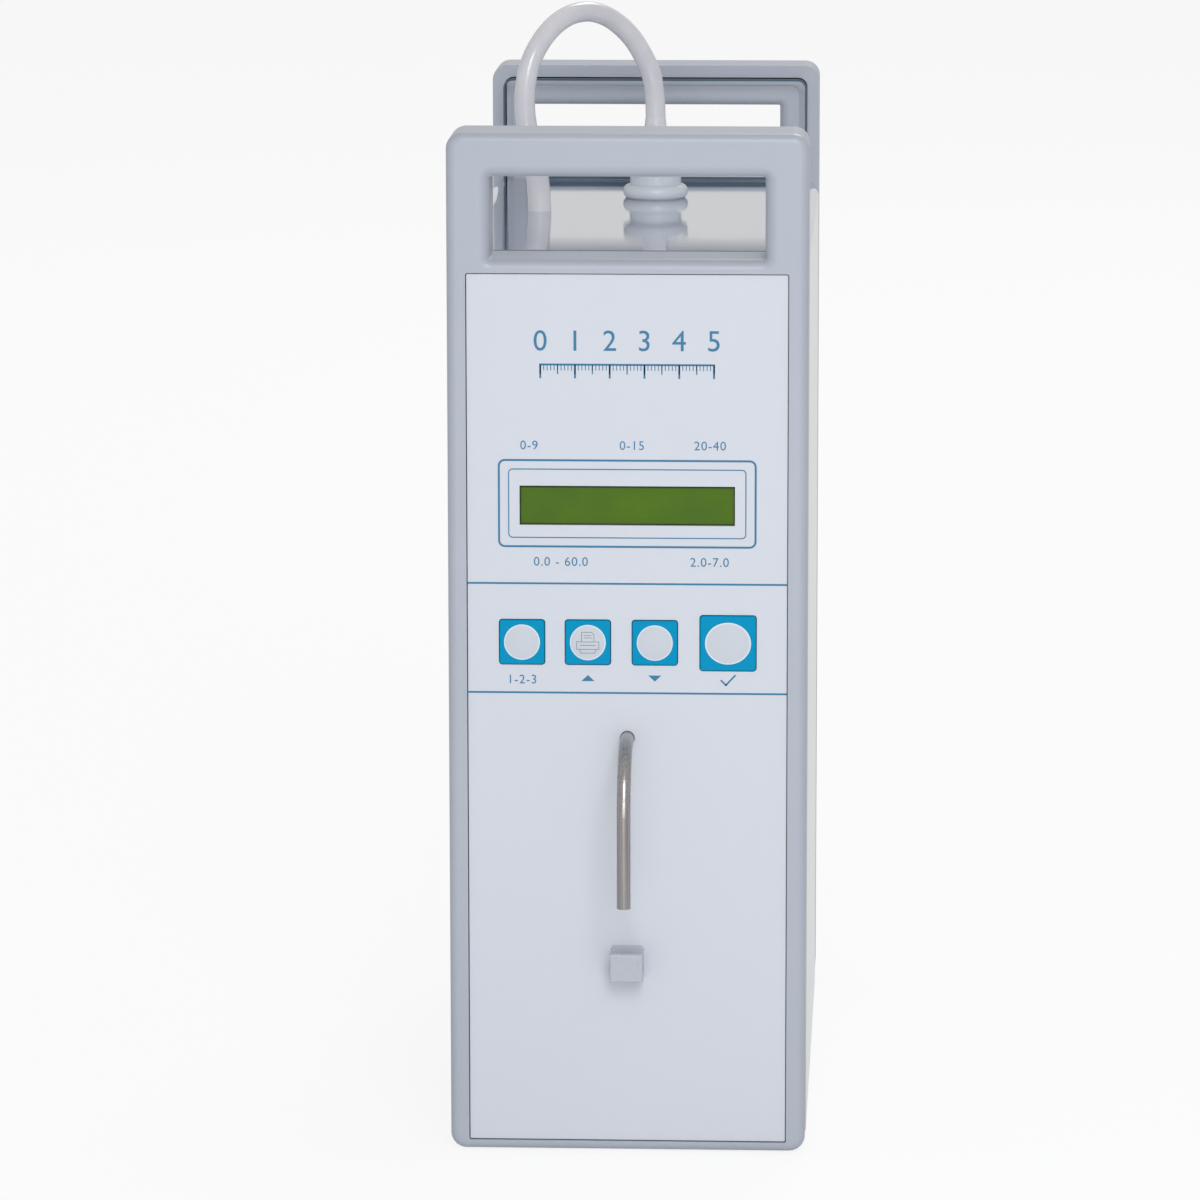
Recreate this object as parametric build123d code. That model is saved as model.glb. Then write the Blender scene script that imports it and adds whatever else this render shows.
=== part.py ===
"""Bench milk analyzer: two moulded end frames, a bent steel cover, a keypad front and a hose loop on top.

Millimetres. +Z is up, the front faces -Y, and the origin is on the bench under the middle of the body.
Each sub-part is written to parts/NAME.step.
"""
from build123d import *
from math import cos, pi, radians, sin, tan
import os

# Overall body
body_width = 104.0
body_height = 300.0
body_depth = 232.0
end_depth = 22.0
foot_proud = 0.5

# General fits and helpers
overrun = 1.0
panel_fit = 0.3
slip_fit = 0.15
running_fit = 0.05
body_gap = 0.3
pick_reach = 0.01

# End frame mouldings
frame_corner_r = 4.6
frame_edge_r = 2.6
rim_wall = 3.7
rim_inner_r = 3.0
front_wall = 5.0
groove_width = 0.7
liner_thickness = 4.0
liner_rise = 2.6
liner_rail = 8.0
ledge_width = 2.0
ledge_drop = 0.8
boss_r = 3.2
lug_r = 4.6
boss_inset = 7.4
boss_drop = 22.0
tongue_length = 6.0
tongue_thickness = 2.0
tongue_end_gap = 20.0

# Grip window through each end frame
window_side = 12.4
window_above = 12.6
window_height = 23.5
window_width = body_width - 2 * window_side
window_top = body_height - window_above
window_bottom = window_top - window_height
window_corner_r = 0.5
window_front_r = 3.4
window_back_r = 2.8
sleeve_wall = 2.5

# Panel recess in each end frame
recess_side = 5.5
recess_bottom = 3.4
recess_gap = 4.1
recess_width = body_width - 2 * recess_side
recess_top = window_bottom - recess_gap
recess_depth = 3.0
recess_corner_r = 0.6
recess_shelf = 3.0
plate_thickness = 2.0
overlay_thickness = 0.4

# Bent cover
cover_thickness = 1.0
cover_bend_r = 5.0
cover_bottom = 1.5

# Base tray
tray_thickness = 1.5
tray_flange = 14.0
tray_tab = 10.0
vent_slot_length = 34.0
vent_slot_width = 3.0
vent_slot_pitch = 8.0
vent_slot_count = 6

# Rubber foot pads
pad_r = 6.0
pad_thickness = 2.5
pad_side = 14.0
pad_spread = body_width - 2 * pad_side

# Display
display_drop = 67.45
display_middle = recess_top - display_drop
display_side = 15.4
display_width = recess_width - 2 * display_side
display_height = 11.5
lens_recess = 1.0
lens_flange = 2.0
lens_flange_thickness = 0.8
lcd_can_side = 4.55
lcd_can_width = display_width + 2 * lcd_can_side
lcd_can_height = 24.0
lcd_can_wall = 0.8
lcd_can_window_margin = 1.5
lcd_glass_thickness = 2.8
lcd_board_side = 4.35
lcd_board_width = lcd_can_width + 2 * lcd_board_side
lcd_board_height = 36.0
board_thickness = 1.6
stand_off_height = 6.8
stand_off_r = 2.6
lcd_hole_inset = 3.2

# Keys
key_size = 13.0
key_corner_r = 0.8
key_drop = 107.55
key_row = recess_top - key_drop
mode_key_share = -0.328
up_key_share = -0.1226
down_key_share = 0.086
ok_key_share = 0.314
ok_key_size = 16.1
key_proud = 0.5
key_dome_r = 5.2
ok_dome_r = 6.65
ok_dome_half_height = 6.15
dome_rise = 0.7
key_flange = 0.9
key_flange_thickness = 1.0
key_stem_r = 2.0
key_travel = 0.5
key_fit = 0.25
key_board_height = 30.0
key_board_side = 5.5
key_board_width = recess_width - 2 * key_board_side
key_board_hole_inset = 3.2
switch_size = 6.0
switch_height = 3.1
plunger_r = 1.7
plunger_height = 0.8

# Sampling tube
sample_tube_od = 4.0
sample_tube_id = 3.0
tube_exit_drop = 135.8
tube_exit_z = recess_top - tube_exit_drop
tube_reach = 24.0
tube_drop = 45.0
tube_tip_z = tube_exit_z - tube_drop
tube_bend_r = 18.0
tube_tail = 28.0
bushing_r = 5.0
bushing_length = 9.0

# Cup hook
hook_width = 9.6
hook_bottom = 53.1
hook_top = 61.4
hook_reach = 8.0
hook_lip = 2.0
hook_back = 1.2
hook_back_rise = 0.9
hook_back_inset = 0.5
hook_edge_r = 0.5
hook_stud_r = 2.0
hook_nut_af = 7.0
hook_nut_height = 3.0

# Hose fitting on the cover
fitting_x = 2.0
fitting_y = 42.0
fitting_ring_r = 10.1
fitting_ring_peak = 2.0
fitting_waist_h = 4.3
fitting_neck_r = 8.0
fitting_disc_h = 8.2
fitting_disc_r = 10.0
fitting_disc_top = 12.5
fitting_edge = 0.6
fitting_groove_h = 10.4
fitting_groove = 0.3
fitting_base_r = 9.0
fitting_shank_r = 5.0
fitting_shank_length = 12.0
fitting_bore_r = 1.5
fitting_nut_af = 15.0
fitting_nut_height = 5.0
nipple_r = 2.0
cuff_r = 3.7
cuff_shoulder_h = 20.0
cuff_top_h = 25.0

# Hose loop
hose_od = 6.2
hose_bore = 4.0
return_x = -32.0
return_y = 5.0
port_collar_r = 6.5
port_collar_height = 4.0
port_length = 12.0

# Rear plate and its connectors
inlet_side = 1.5
inlet_z = 42.0
inlet_flange_width = 50.0
inlet_x = inlet_side + (inlet_flange_width - recess_width) / 2
inlet_flange_height = 23.0
inlet_flange_thickness = 3.0
inlet_body_width = 27.6
inlet_body_height = 20.0
inlet_body_depth = 17.0
inlet_cavity_width = 24.6
inlet_cavity_height = 16.6
inlet_cavity_depth = 15.0
inlet_cut = 5.0
pin_width = 4.0
pin_thickness = 2.0
pin_pitch = 14.0
pin_drop = 2.0
earth_rise = 4.2
pin_length = 13.0
pin_tail = 8.0
inlet_screw_inset = 5.0
inlet_screw_pitch = inlet_flange_width - 2 * inlet_screw_inset
switch_x = 27.0
switch_z = 42.0
switch_frame_width = 15.4
switch_frame_height = 21.4
switch_flange = 1.0
switch_flange_thickness = 1.6
switch_body_depth = 15.0
switch_wall = 1.4
rocker_r = 8.2
rocker_width = 10.4
rocker_throw = 16.0
rocker_pin_r = 1.2
rocker_pin_length = 1.0
rocker_crest = 3.0
rocker_lift = 0.9
rocker_pivot_drop = 1.2
fuse_side = 19.5
fuse_x = recess_width / 2 - fuse_side
fuse_z = 74.0
fuse_flange_r = 7.5
fuse_flange_thickness = 1.6
fuse_body_r = 5.8
fuse_body_length = 34.0
fuse_bore_r = 4.4
fuse_cap_r = 6.0
fuse_cap_height = 5.0
fuse_stem_r = 4.2
fuse_stem_length = 8.0
fuse_slot_width = 1.2
fuse_slot_depth = 1.0
fuse_glass_r = 2.6
fuse_glass_length = 20.0
fuse_end_r = 2.9
fuse_end_length = 5.0
fuse_turn = 90.0
serial_x = -18.0
serial_drop = 109.8
serial_z = recess_top - serial_drop
serial_flange_height = 12.5
serial_flange_thickness = 1.0
serial_shell_width = 18.6
serial_shell_height = 8.3
serial_shell_slope = 1.6
serial_shell_proud = 5.8
serial_body_depth = 9.0
serial_post_af = 4.8
serial_post_height = 5.0
serial_post_gap = 0.8
serial_screw_pitch = serial_shell_width + serial_post_af + 2 * serial_post_gap
serial_flange_end = 2.9
serial_flange_width = serial_screw_pitch + 2 * serial_flange_end
dc_x = 27.0
dc_drop = 109.8
dc_z = recess_top - dc_drop
dc_flange_r = 6.5
dc_flange_thickness = 1.5
dc_body_r = 5.4
dc_body_length = 14.0
dc_bore_r = 3.2
dc_bore_depth = 10.0
dc_pin_r = 1.0
vent_drop = 69.8
vent_bottom = recess_top - vent_drop
rear_vent_length = 50.0
rear_vent_width = 3.0
rear_vent_pitch = 7.0
rear_vent_count = 7

# Screws
screw_r = 1.5
screw_head_r = 2.8
screw_head_height = 1.8
screw_length = 7.0
screw_inset = 6.0

# Inner frame that carries the pump and the boards
wall_x = 6.0
wall_thickness = 1.5
wall_front = -70.0
wall_rear = 44.5
wall_top_drop = 73.9
wall_top = window_bottom - wall_top_drop
wall_foot = 22.0

# Peristaltic pump
pump_y = 18.0
pump_drop = 40.0
pump_z = tube_exit_z - pump_drop
pump_block = 52.0
pump_depth = 16.0
pump_back = 2.0
track_r = 20.0
pump_tube_od = 5.0
squeezed_tube = 2.6
squeezed_tube_width = 7.0
roller_r = 5.0
roller_length = 9.0
roller_count = 3
rotor_disc_r = 16.2
rotor_disc_thickness = 1.0
rotor_hub_r = 4.5
roller_pin_r = 1.5
rotor_side_gap = 0.5
pump_lid_thickness = 2.0
motor_size = 42.0
motor_length = 32.0
motor_edge = 4.0
motor_boss_r = 11.0
motor_shaft_r = 2.5

# Measuring cell
cell_width = 30.0
cell_length = 38.0
cell_height = 44.0
cell_edge = 2.0
cell_setback = 8.0
transducer_r = 9.0
transducer_length = 6.0
cell_bore_r = 8.0
cell_bore_depth = 4.0

# Boards and supply
main_board_front = -62.0
main_board_rear = 34.0
main_board_rise = 26.0
main_board_height = 72.0
main_board_bottom = pump_z + main_board_rise
main_board_top = main_board_bottom + main_board_height
main_board_post = 6.0
chip_height = 2.4
supply_gap = 3.0
supply_y = 45.0
supply_width = 38.0
supply_length = 34.0
supply_height = 32.0
winding_margin = 6.0
winding_proud = 5.0

# The route of the free hose, from the return port to the fitting, with heights above the cover
cover_top = window_bottom
hose_bends = [
    (return_x, return_y, 0),
    (-32.0, 5.0, 8.1),
    (-35.0, 1.7, 21.1),
    (-36.7, -0.2, 35.6),
    (-34.0, 2.8, 48.6),
    (-25.9, 11.6, 58.6),
    (-15.8, 22.7, 60.1),
    (-6.3, 33.0, 52.9),
    (-0.3, 39.5, 42.1),
    (2.0, 42.0, 33.3),
    (fitting_x, fitting_y, cuff_top_h),
]
hose_route = [(x, y, cover_top + rise) for x, y, rise in hose_bends]
arc_share = 0.45

# Planes and places that several pieces share
half_width = body_width / 2
front_y = -body_depth / 2
cover_front = front_y + end_depth
rim_floor = foot_proud + rim_wall
plate_back = front_y + recess_depth
plate_front = plate_back - plate_thickness
overlay_front = plate_front - overlay_thickness
board_front = plate_back + stand_off_height
cover_inner = half_width - cover_thickness
keys = {
    "mode_key": (mode_key_share * recess_width, key_size, key_dome_r, key_dome_r),
    "up_key": (up_key_share * recess_width, key_size, key_dome_r, key_dome_r),
    "down_key": (down_key_share * recess_width, key_size, key_dome_r, key_dome_r),
    "ok_key": (ok_key_share * recess_width, ok_key_size, ok_dome_r, ok_dome_half_height),
}


def block(x_from, x_to, y_from, y_to, z_from, z_to):
    """A box between three pairs of limits."""
    middle = Pos((x_from + x_to) / 2, (y_from + y_to) / 2, (z_from + z_to) / 2)
    return middle * Box(x_to - x_from, y_to - y_from, z_to - z_from)


def slab_y(width, z_from, z_to, y_from, y_to, corner_r, x_middle=0):
    """A rounded rectangle that faces the front, between two depths."""
    plane = Plane(origin=(x_middle, y_from, (z_from + z_to) / 2), x_dir=(1, 0, 0), z_dir=(0, 1, 0))
    return extrude(plane * RectangleRounded(width, z_to - z_from, corner_r), y_to - y_from)


def rod_x(y, z, x_from, x_to, radius):
    """A round bar along X."""
    return Pos((x_from + x_to) / 2, y, z) * Rot(0, 90, 0) * Cylinder(radius, x_to - x_from)


def rod_y(x, z, y_from, y_to, radius):
    """A round bar along Y."""
    return Pos(x, (y_from + y_to) / 2, z) * Rot(90, 0, 0) * Cylinder(radius, y_to - y_from)


def rod_z(x, y, z_from, z_to, radius):
    """A round bar along Z."""
    return Pos(x, y, (z_from + z_to) / 2) * Cylinder(radius, z_to - z_from)


def hex_nut(across_flats, height, bore_r):
    """A six-sided nut on Z, from zero up."""
    outline = RegularPolygon(across_flats / 2, 6, major_radius=False)
    return extrude(outline - Circle(bore_r), height)


def front_to_rear(shape):
    """The same piece at the other end of the body."""
    return mirror(shape, about=Plane.XZ)


def screw_y(x, z, seat_y, inward):
    """A pan-head screw along Y, whose head sits on seat_y and whose shank runs inward (+1 or -1)."""
    head = rod_y(x, z, min(seat_y, seat_y - inward * screw_head_height),
                 max(seat_y, seat_y - inward * screw_head_height), screw_head_r)
    shank = rod_y(x, z, min(seat_y, seat_y + inward * screw_length),
                  max(seat_y, seat_y + inward * screw_length), screw_r)
    return head + shank


def edges_in_window(shape, y):
    """The edges of the grip window that lie at one depth."""
    reach = window_width / 2 + pick_reach
    return [edge for edge in shape.edges()
            if abs(edge.center().Y - y) < pick_reach
            and abs(edge.center().X) < reach
            and window_bottom - pick_reach < edge.center().Z < window_top + pick_reach]


# End frames: an outer bezel moulding and an inner liner, at the front and mirrored to the rear

boss_x = half_width - boss_inset
boss_heights = (recess_bottom + boss_drop, recess_top - boss_drop)
liner_front = cover_front - liner_thickness
pad_y = front_y + end_depth / 2


def panel_screw_places():
    """The four corner lugs behind a panel."""
    x = recess_width / 2 - screw_inset
    return [(side * x, z) for side in (-1, 1) for z in (recess_bottom + screw_inset, recess_top - screw_inset)]


def end_bezel():
    """The outer moulding: rim, front wall, panel recess, grip window with its sleeve, and screw bosses."""
    shell = slab_y(body_width, foot_proud, body_height, front_y, cover_front, frame_corner_r)
    shell = fillet(shell.faces().sort_by(Axis.Y)[0].edges(), frame_edge_r)
    shell -= slab_y(body_width - 2 * rim_wall, rim_floor, body_height - rim_wall,
                    front_y + front_wall, cover_front + overrun, rim_inner_r)
    shell += slab_y(window_width + 2 * sleeve_wall, window_bottom - sleeve_wall, window_top + sleeve_wall,
                    front_y + front_wall, liner_front, window_corner_r + sleeve_wall)
    shell -= slab_y(window_width, window_bottom, window_top,
                    front_y - overrun, cover_front + overrun, window_corner_r)
    shell = fillet(edges_in_window(shell, front_y), window_front_r)
    shell -= slab_y(recess_width, recess_bottom, recess_top,
                    front_y - overrun, plate_back, recess_corner_r)
    shell -= slab_y(recess_width - 2 * recess_shelf, recess_bottom + recess_shelf, recess_top - recess_shelf,
                    front_y, front_y + front_wall + overrun, recess_corner_r)
    for x, z in panel_screw_places():
        shell += rod_y(x, z, plate_back, plate_back + screw_length, lug_r)
        shell -= rod_y(x, z, plate_back - overrun, plate_back + screw_length + overrun, screw_r)
    for side in (-1, 1):
        for height in boss_heights:
            shell += rod_y(side * boss_x, height, front_y + front_wall, liner_front, boss_r)
            shell -= rod_y(side * boss_x, height, liner_front - screw_length, liner_front + overrun, screw_r)
        tongue_outer = cover_inner - panel_fit
        shell += block(*sorted((side * (half_width - rim_wall), side * tongue_outer)),
                       cover_front - tongue_length, cover_front + tongue_length,
                       recess_bottom + tongue_end_gap, recess_top - tongue_end_gap)
        shell -= rod_z(side * pad_spread / 2, pad_y, foot_proud - overrun,
                       pad_thickness, pad_r + slip_fit)
        shell -= rod_z(side * base_screw_x, base_screw_y, 0, body_height / 2, screw_r + slip_fit)
        shell -= rod_z(side * base_screw_x, base_screw_y, 0,
                       foot_proud + screw_head_height, screw_head_r + slip_fit)
    return shell


def end_liner():
    """The inner moulding: it closes the back of the bezel and carries the cover's top edge."""
    width = body_width - 2 * (rim_wall + groove_width)
    bottom = rim_floor + liner_rise
    top = body_height - rim_wall - groove_width
    inner_r = rim_inner_r - groove_width
    liner = slab_y(width, bottom, top, liner_front, cover_front, inner_r)
    ledge = slab_y(width + overrun, bottom - overrun, top + overrun,
                   cover_front - ledge_drop, cover_front + overrun, inner_r)
    ledge -= slab_y(width - 2 * ledge_width, bottom, top - ledge_width,
                    cover_front - 2 * ledge_drop, cover_front + 2 * overrun, inner_r)
    liner -= ledge
    liner -= slab_y(window_width, window_bottom, window_top,
                    liner_front - overrun, cover_front + overrun, window_corner_r)
    liner = fillet(edges_in_window(liner, cover_front), window_back_r)
    liner -= slab_y(width - 2 * liner_rail, bottom + liner_rail, window_bottom - liner_rail - sleeve_wall,
                    liner_front - overrun, cover_front + overrun, inner_r)
    tongue_top = cover_top - cover_thickness - panel_fit
    liner += block(-window_width / 2, window_width / 2, cover_front - ledge_drop, cover_front + tongue_length,
                   tongue_top - tongue_thickness, tongue_top)
    for side in (-1, 1):
        for height in boss_heights:
            liner -= rod_y(side * boss_x, height, liner_front - overrun, cover_front + overrun,
                           screw_r + slip_fit)
    return liner


def liner_screws():
    """The four screws that hold one liner on its bezel's bosses."""
    return [screw_y(side * boss_x, height, cover_front, -1)
            for side in (-1, 1) for height in boss_heights]


base_screw_x = pad_spread / 2 - 2 * pad_r
base_screw_y = liner_front - screw_head_r


# Cover and base

def casing_cover():
    """One sheet bent over the top, with the two hose holes."""
    def arch(half, top, radius, y_from, y_to, bottom):
        solid = block(-half, half, y_from, y_to, bottom, top)
        edges = solid.faces().sort_by(Axis.Z)[-1].edges().filter_by(Axis.Y)
        return fillet(edges, radius)

    cover = arch(half_width, cover_top, cover_bend_r, cover_front, -cover_front, cover_bottom)
    cover -= arch(cover_inner, cover_top - cover_thickness, cover_bend_r - cover_thickness,
                  cover_front - overrun, -cover_front + overrun, cover_bottom - overrun)
    below = cover_top - cover_bend_r
    cover -= rod_z(fitting_x, fitting_y, below, cover_top + overrun, fitting_shank_r + slip_fit)
    cover -= rod_z(return_x, return_y, below, cover_top + overrun, hose_od / 2 + slip_fit)
    return cover


def base_tray():
    """The folded floor: it rests on the two bezels and stiffens the cover's legs."""
    tray_half = cover_inner - panel_fit
    tab_half = half_width - rim_wall - rim_inner_r - body_gap
    tray = block(-tray_half, tray_half, cover_front, -cover_front, rim_floor, rim_floor + tray_thickness)
    tray += block(-tab_half, tab_half, cover_front - tray_tab, -cover_front + tray_tab,
                  rim_floor, rim_floor + tray_thickness)
    for side in (-1, 1):
        tray += block(*sorted((side * tray_half, side * (tray_half - tray_thickness))),
                      cover_front + tongue_length + body_gap, -cover_front - tongue_length - body_gap,
                      rim_floor, rim_floor + tray_flange)
        for end in (-1, 1):
            tray -= rod_z(side * base_screw_x, end * base_screw_y, 0, body_height / 2, screw_r)
    for step in range(vent_slot_count):
        y = (step - (vent_slot_count - 1) / 2) * vent_slot_pitch
        for side in (-1, 1):
            middle = side * (tray_half + wall_x) / 2
            tray -= block(middle - vent_slot_length / 2, middle + vent_slot_length / 2,
                          y - vent_slot_width / 2, y + vent_slot_width / 2,
                          rim_floor - overrun, rim_floor + tray_thickness + overrun)
    return tray


def base_screws():
    """Four screws from below, through the bezels into the tray's tabs."""
    seat = foot_proud + screw_head_height
    group = []
    for side in (-1, 1):
        for end in (-1, 1):
            x = side * base_screw_x
            y = end * base_screw_y
            head = rod_z(x, y, foot_proud + pick_reach, seat, screw_head_r)
            group.append(head + rod_z(x, y, seat, seat + screw_length, screw_r))
    return group


def foot_pads():
    """Four rubber pads in pockets of the bezels."""
    return [rod_z(side * pad_spread / 2, end * pad_y, 0, pad_thickness, pad_r)
            for side in (-1, 1) for end in (-1, 1)]


# Front panel

plate_width = recess_width - 2 * panel_fit
plate_bottom = recess_bottom + panel_fit
plate_top = recess_top - panel_fit
display_bottom = display_middle - display_height / 2
display_top = display_middle + display_height / 2


def panel_sheet(y_from, y_to):
    """The outline of the front panel with its display, key, tube and hook holes."""
    sheet = slab_y(plate_width, plate_bottom, plate_top, y_from, y_to, recess_corner_r - panel_fit)
    back = y_from - overrun
    ahead = y_to + overrun
    sheet -= block(-display_width / 2, display_width / 2, back, ahead, display_bottom, display_top)
    for x, size, _, _ in keys.values():
        half = size / 2 + key_fit
        sheet -= slab_y(2 * half, key_row - half, key_row + half, back, ahead, key_corner_r + key_fit, x)
    sheet -= rod_y(0, tube_exit_z, back, ahead, sample_tube_od / 2 + slip_fit)
    sheet -= rod_y(0, hook_middle, back, ahead, hook_stud_r + slip_fit)
    return sheet


def display_lens():
    """The clear window, pushed through the plate from behind."""
    lens = block(-display_width / 2 + slip_fit, display_width / 2 - slip_fit,
                 overlay_front + lens_recess, plate_back, display_bottom + slip_fit, display_top - slip_fit)
    lens += block(-display_width / 2 - lens_flange, display_width / 2 + lens_flange,
                  plate_back, plate_back + lens_flange_thickness,
                  display_bottom - lens_flange, display_top + lens_flange)
    return lens


can_front = plate_back + lens_flange_thickness


def lcd_can():
    """The metal frame round the display glass."""
    def centred(width, height, y_from, y_to):
        return block(-width / 2, width / 2, y_from, y_to,
                     display_middle - height / 2, display_middle + height / 2)

    can = centred(lcd_can_width, lcd_can_height, can_front, board_front)
    can -= centred(lcd_can_width - 2 * lcd_can_wall, lcd_can_height - 2 * lcd_can_wall,
                   can_front + lcd_can_wall, board_front + overrun)
    can -= centred(display_width + 2 * lcd_can_window_margin, display_height + 2 * lcd_can_window_margin,
                   can_front - overrun, board_front)
    return can


def lcd_glass():
    """The display cell behind the can's window."""
    half_w = lcd_can_width / 2 - lcd_can_wall - slip_fit
    half_h = lcd_can_height / 2 - lcd_can_wall - slip_fit
    front = can_front + lcd_can_wall
    return block(-half_w, half_w, front, front + lcd_glass_thickness,
                 display_middle - half_h, display_middle + half_h)


def board_with_holes(width, height, z_middle, hole_inset):
    """A circuit board behind the front panel, and the places of its four holes."""
    half_w = width / 2
    half_h = height / 2
    board = block(-half_w, half_w, board_front, board_front + board_thickness,
                  z_middle - half_h, z_middle + half_h)
    places = [(sx * (half_w - hole_inset), z_middle + sz * (half_h - hole_inset))
              for sx in (-1, 1) for sz in (-1, 1)]
    for x, z in places:
        board -= rod_y(x, z, board_front - overrun, board_front + board_thickness + overrun, screw_r + slip_fit)
    return board, places


def stand_offs(places):
    """Round posts between the front plate and a board."""
    return [rod_y(x, z, plate_back, board_front, stand_off_r) -
            rod_y(x, z, board_front + board_thickness - screw_length - slip_fit, board_front + overrun, screw_r)
            for x, z in places]


def key_cap(x, size, dome_r, dome_half_height):
    """A square key with a low round or oval dome, a flange behind the plate and a stem towards its switch."""
    face_y = overlay_front - key_proud
    half = size / 2
    cap = slab_y(size, key_row - half, key_row + half, face_y, plate_back, key_corner_r, x)
    cap = chamfer(cap.faces().sort_by(Axis.Y)[0].edges(), key_proud / 2)
    ball_r = (dome_r ** 2 + dome_rise ** 2) / (2 * dome_rise)
    dome = Pos(x, face_y - dome_rise + ball_r, key_row) * Sphere(ball_r)
    oval = Plane(origin=(x, face_y + key_proud, key_row), x_dir=(1, 0, 0), z_dir=(0, -1, 0))
    dome &= extrude(oval * Ellipse(dome_r, dome_half_height), key_proud + dome_rise + overrun)
    cap += dome
    flange_half = half + key_flange
    cap += slab_y(2 * flange_half, key_row - flange_half, key_row + flange_half,
                  plate_back, plate_back + key_flange_thickness, key_corner_r, x)
    stem_end = board_front - switch_height - plunger_height - key_travel - running_fit
    cap += rod_y(x, key_row, plate_back, stem_end, key_stem_r)
    return cap


def key_switches():
    """The push switches that stand on the key board, one behind each key."""
    group = []
    for x, _, _, _ in keys.values():
        half = switch_size / 2
        base = block(x - half, x + half, board_front - switch_height, board_front, key_row - half, key_row + half)
        base += rod_y(x, key_row, board_front - switch_height - plunger_height, board_front, plunger_r)
        group.append(base)
    return group


# Sampling tube, its bushing and the cup hook

hook_middle = (hook_bottom + hook_top) / 2
tube_y = front_y - tube_reach
tube_tail_y = front_y + tube_tail


def tube_line():
    """The centre line of the steel tube: in through the panel, out, and down."""
    return FilletPolyline((0, tube_tail_y, tube_exit_z), (0, tube_y, tube_exit_z), (0, tube_y, tube_tip_z),
                          radius=tube_bend_r)


def swept_ring(line, outer_r, inner_r):
    """A round tube swept along a line of straight runs and arcs."""
    start = Plane(origin=line @ 0, z_dir=line % 0)
    section = Circle(outer_r)
    if inner_r > 0:
        section -= Circle(inner_r)
    return sweep(start * section, path=line)


def sample_tube():
    """The bent steel tube that reaches down into the cup."""
    return swept_ring(tube_line(), sample_tube_od / 2, sample_tube_id / 2)


def tube_bushing():
    """The bush behind the panel that grips the tube."""
    bush = rod_y(0, tube_exit_z, plate_back, plate_back + bushing_length, bushing_r)
    bush -= rod_y(0, tube_exit_z, plate_back - overrun, plate_back + bushing_length + overrun,
                  sample_tube_od / 2)
    return bush


def cup_hook():
    """An upturned hook for the cup's rim, on a stud through the panel."""
    half = hook_width / 2
    lip_front = front_y - hook_reach
    hook = block(-half, half, lip_front, overlay_front, hook_bottom, hook_top)
    hook -= block(-half - overrun, half + overrun, lip_front + hook_lip, overlay_front - hook_back,
                  hook_bottom + hook_lip, hook_top + overrun)
    hook = fillet(hook.faces().sort_by(Axis.Y)[0].edges(), hook_edge_r)
    hook += block(-half + hook_back_inset, half - hook_back_inset, overlay_front - hook_back, overlay_front,
                  hook_bottom + hook_lip, hook_top + hook_back_rise)
    hook += rod_y(0, hook_middle, overlay_front - hook_back, plate_back + hook_nut_height + overrun, hook_stud_r)
    return hook


def hook_nut():
    """The nut on the hook's stud."""
    return Pos(0, plate_back + hook_nut_height, hook_middle) * Rot(90, 0, 0) * hex_nut(
        hook_nut_af, hook_nut_height, hook_stud_r)


# Hose fitting, cuff, return port and hose

def turned_z(points, x, y, z, bulge=None):
    """A turned piece: a profile of radius and height about a vertical axis.

    A bulge is an arc that closes the profile from its last point to its first.
    """
    places = [(r, 0, h) for r, h in points]
    if bulge is None:
        outline = make_face(Polyline(*places, close=True))
    else:
        arc = ThreePointArc(places[-1], (bulge[0], 0, bulge[1]), places[0])
        outline = make_face(Polyline(*places).edges() + arc.edges())
    return Pos(x, y, z) * revolve(outline, Axis.Z)


def hose_fitting():
    """The plastic bulkhead fitting: swollen ring, neck, flat disc, nipple above and threaded shank below."""
    profile = [
        (fitting_neck_r, fitting_waist_h),
        (fitting_neck_r, fitting_disc_h - fitting_edge),
        (fitting_disc_r - fitting_edge, fitting_disc_h),
        (fitting_disc_r, fitting_disc_h + fitting_edge),
        (fitting_disc_r, fitting_groove_h - fitting_groove),
        (fitting_disc_r - fitting_groove, fitting_groove_h),
        (fitting_disc_r, fitting_groove_h + fitting_groove),
        (fitting_disc_r, fitting_disc_top - fitting_edge),
        (fitting_disc_r - fitting_edge, fitting_disc_top),
        (nipple_r, fitting_disc_top),
        (nipple_r, cuff_top_h),
        (fitting_bore_r, cuff_top_h),
        (fitting_bore_r, -fitting_shank_length),
        (fitting_shank_r, -fitting_shank_length),
        (fitting_shank_r, 0),
        (fitting_base_r, 0),
    ]
    return turned_z(profile, fitting_x, fitting_y, cover_top, bulge=(fitting_ring_r, fitting_ring_peak))


def hose_cuff():
    """The soft sleeve over the nipple, which tapers to the hose."""
    profile = [
        (nipple_r, fitting_disc_top),
        (cuff_r, fitting_disc_top),
        (cuff_r, cuff_shoulder_h),
        (hose_od / 2, cuff_top_h),
        (nipple_r, cuff_top_h),
    ]
    return turned_z(profile, fitting_x, fitting_y, cover_top)


def fitting_nut():
    """The nut under the cover."""
    return Pos(fitting_x, fitting_y, cover_top - cover_thickness - fitting_nut_height) * hex_nut(
        fitting_nut_af, fitting_nut_height, fitting_shank_r)


def return_port():
    """The spigot that fills the cover's second hole and takes the other end of the hose."""
    profile = [
        (hose_bore / 2, 0),
        (hose_bore / 2, -port_length),
        (hose_od / 2, -port_length),
        (hose_od / 2, -cover_thickness - port_collar_height),
        (port_collar_r, -cover_thickness - port_collar_height),
        (port_collar_r, -cover_thickness),
        (hose_od / 2, -cover_thickness),
        (hose_od / 2, 0),
    ]
    return turned_z(profile, return_x, return_y, cover_top)


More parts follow.
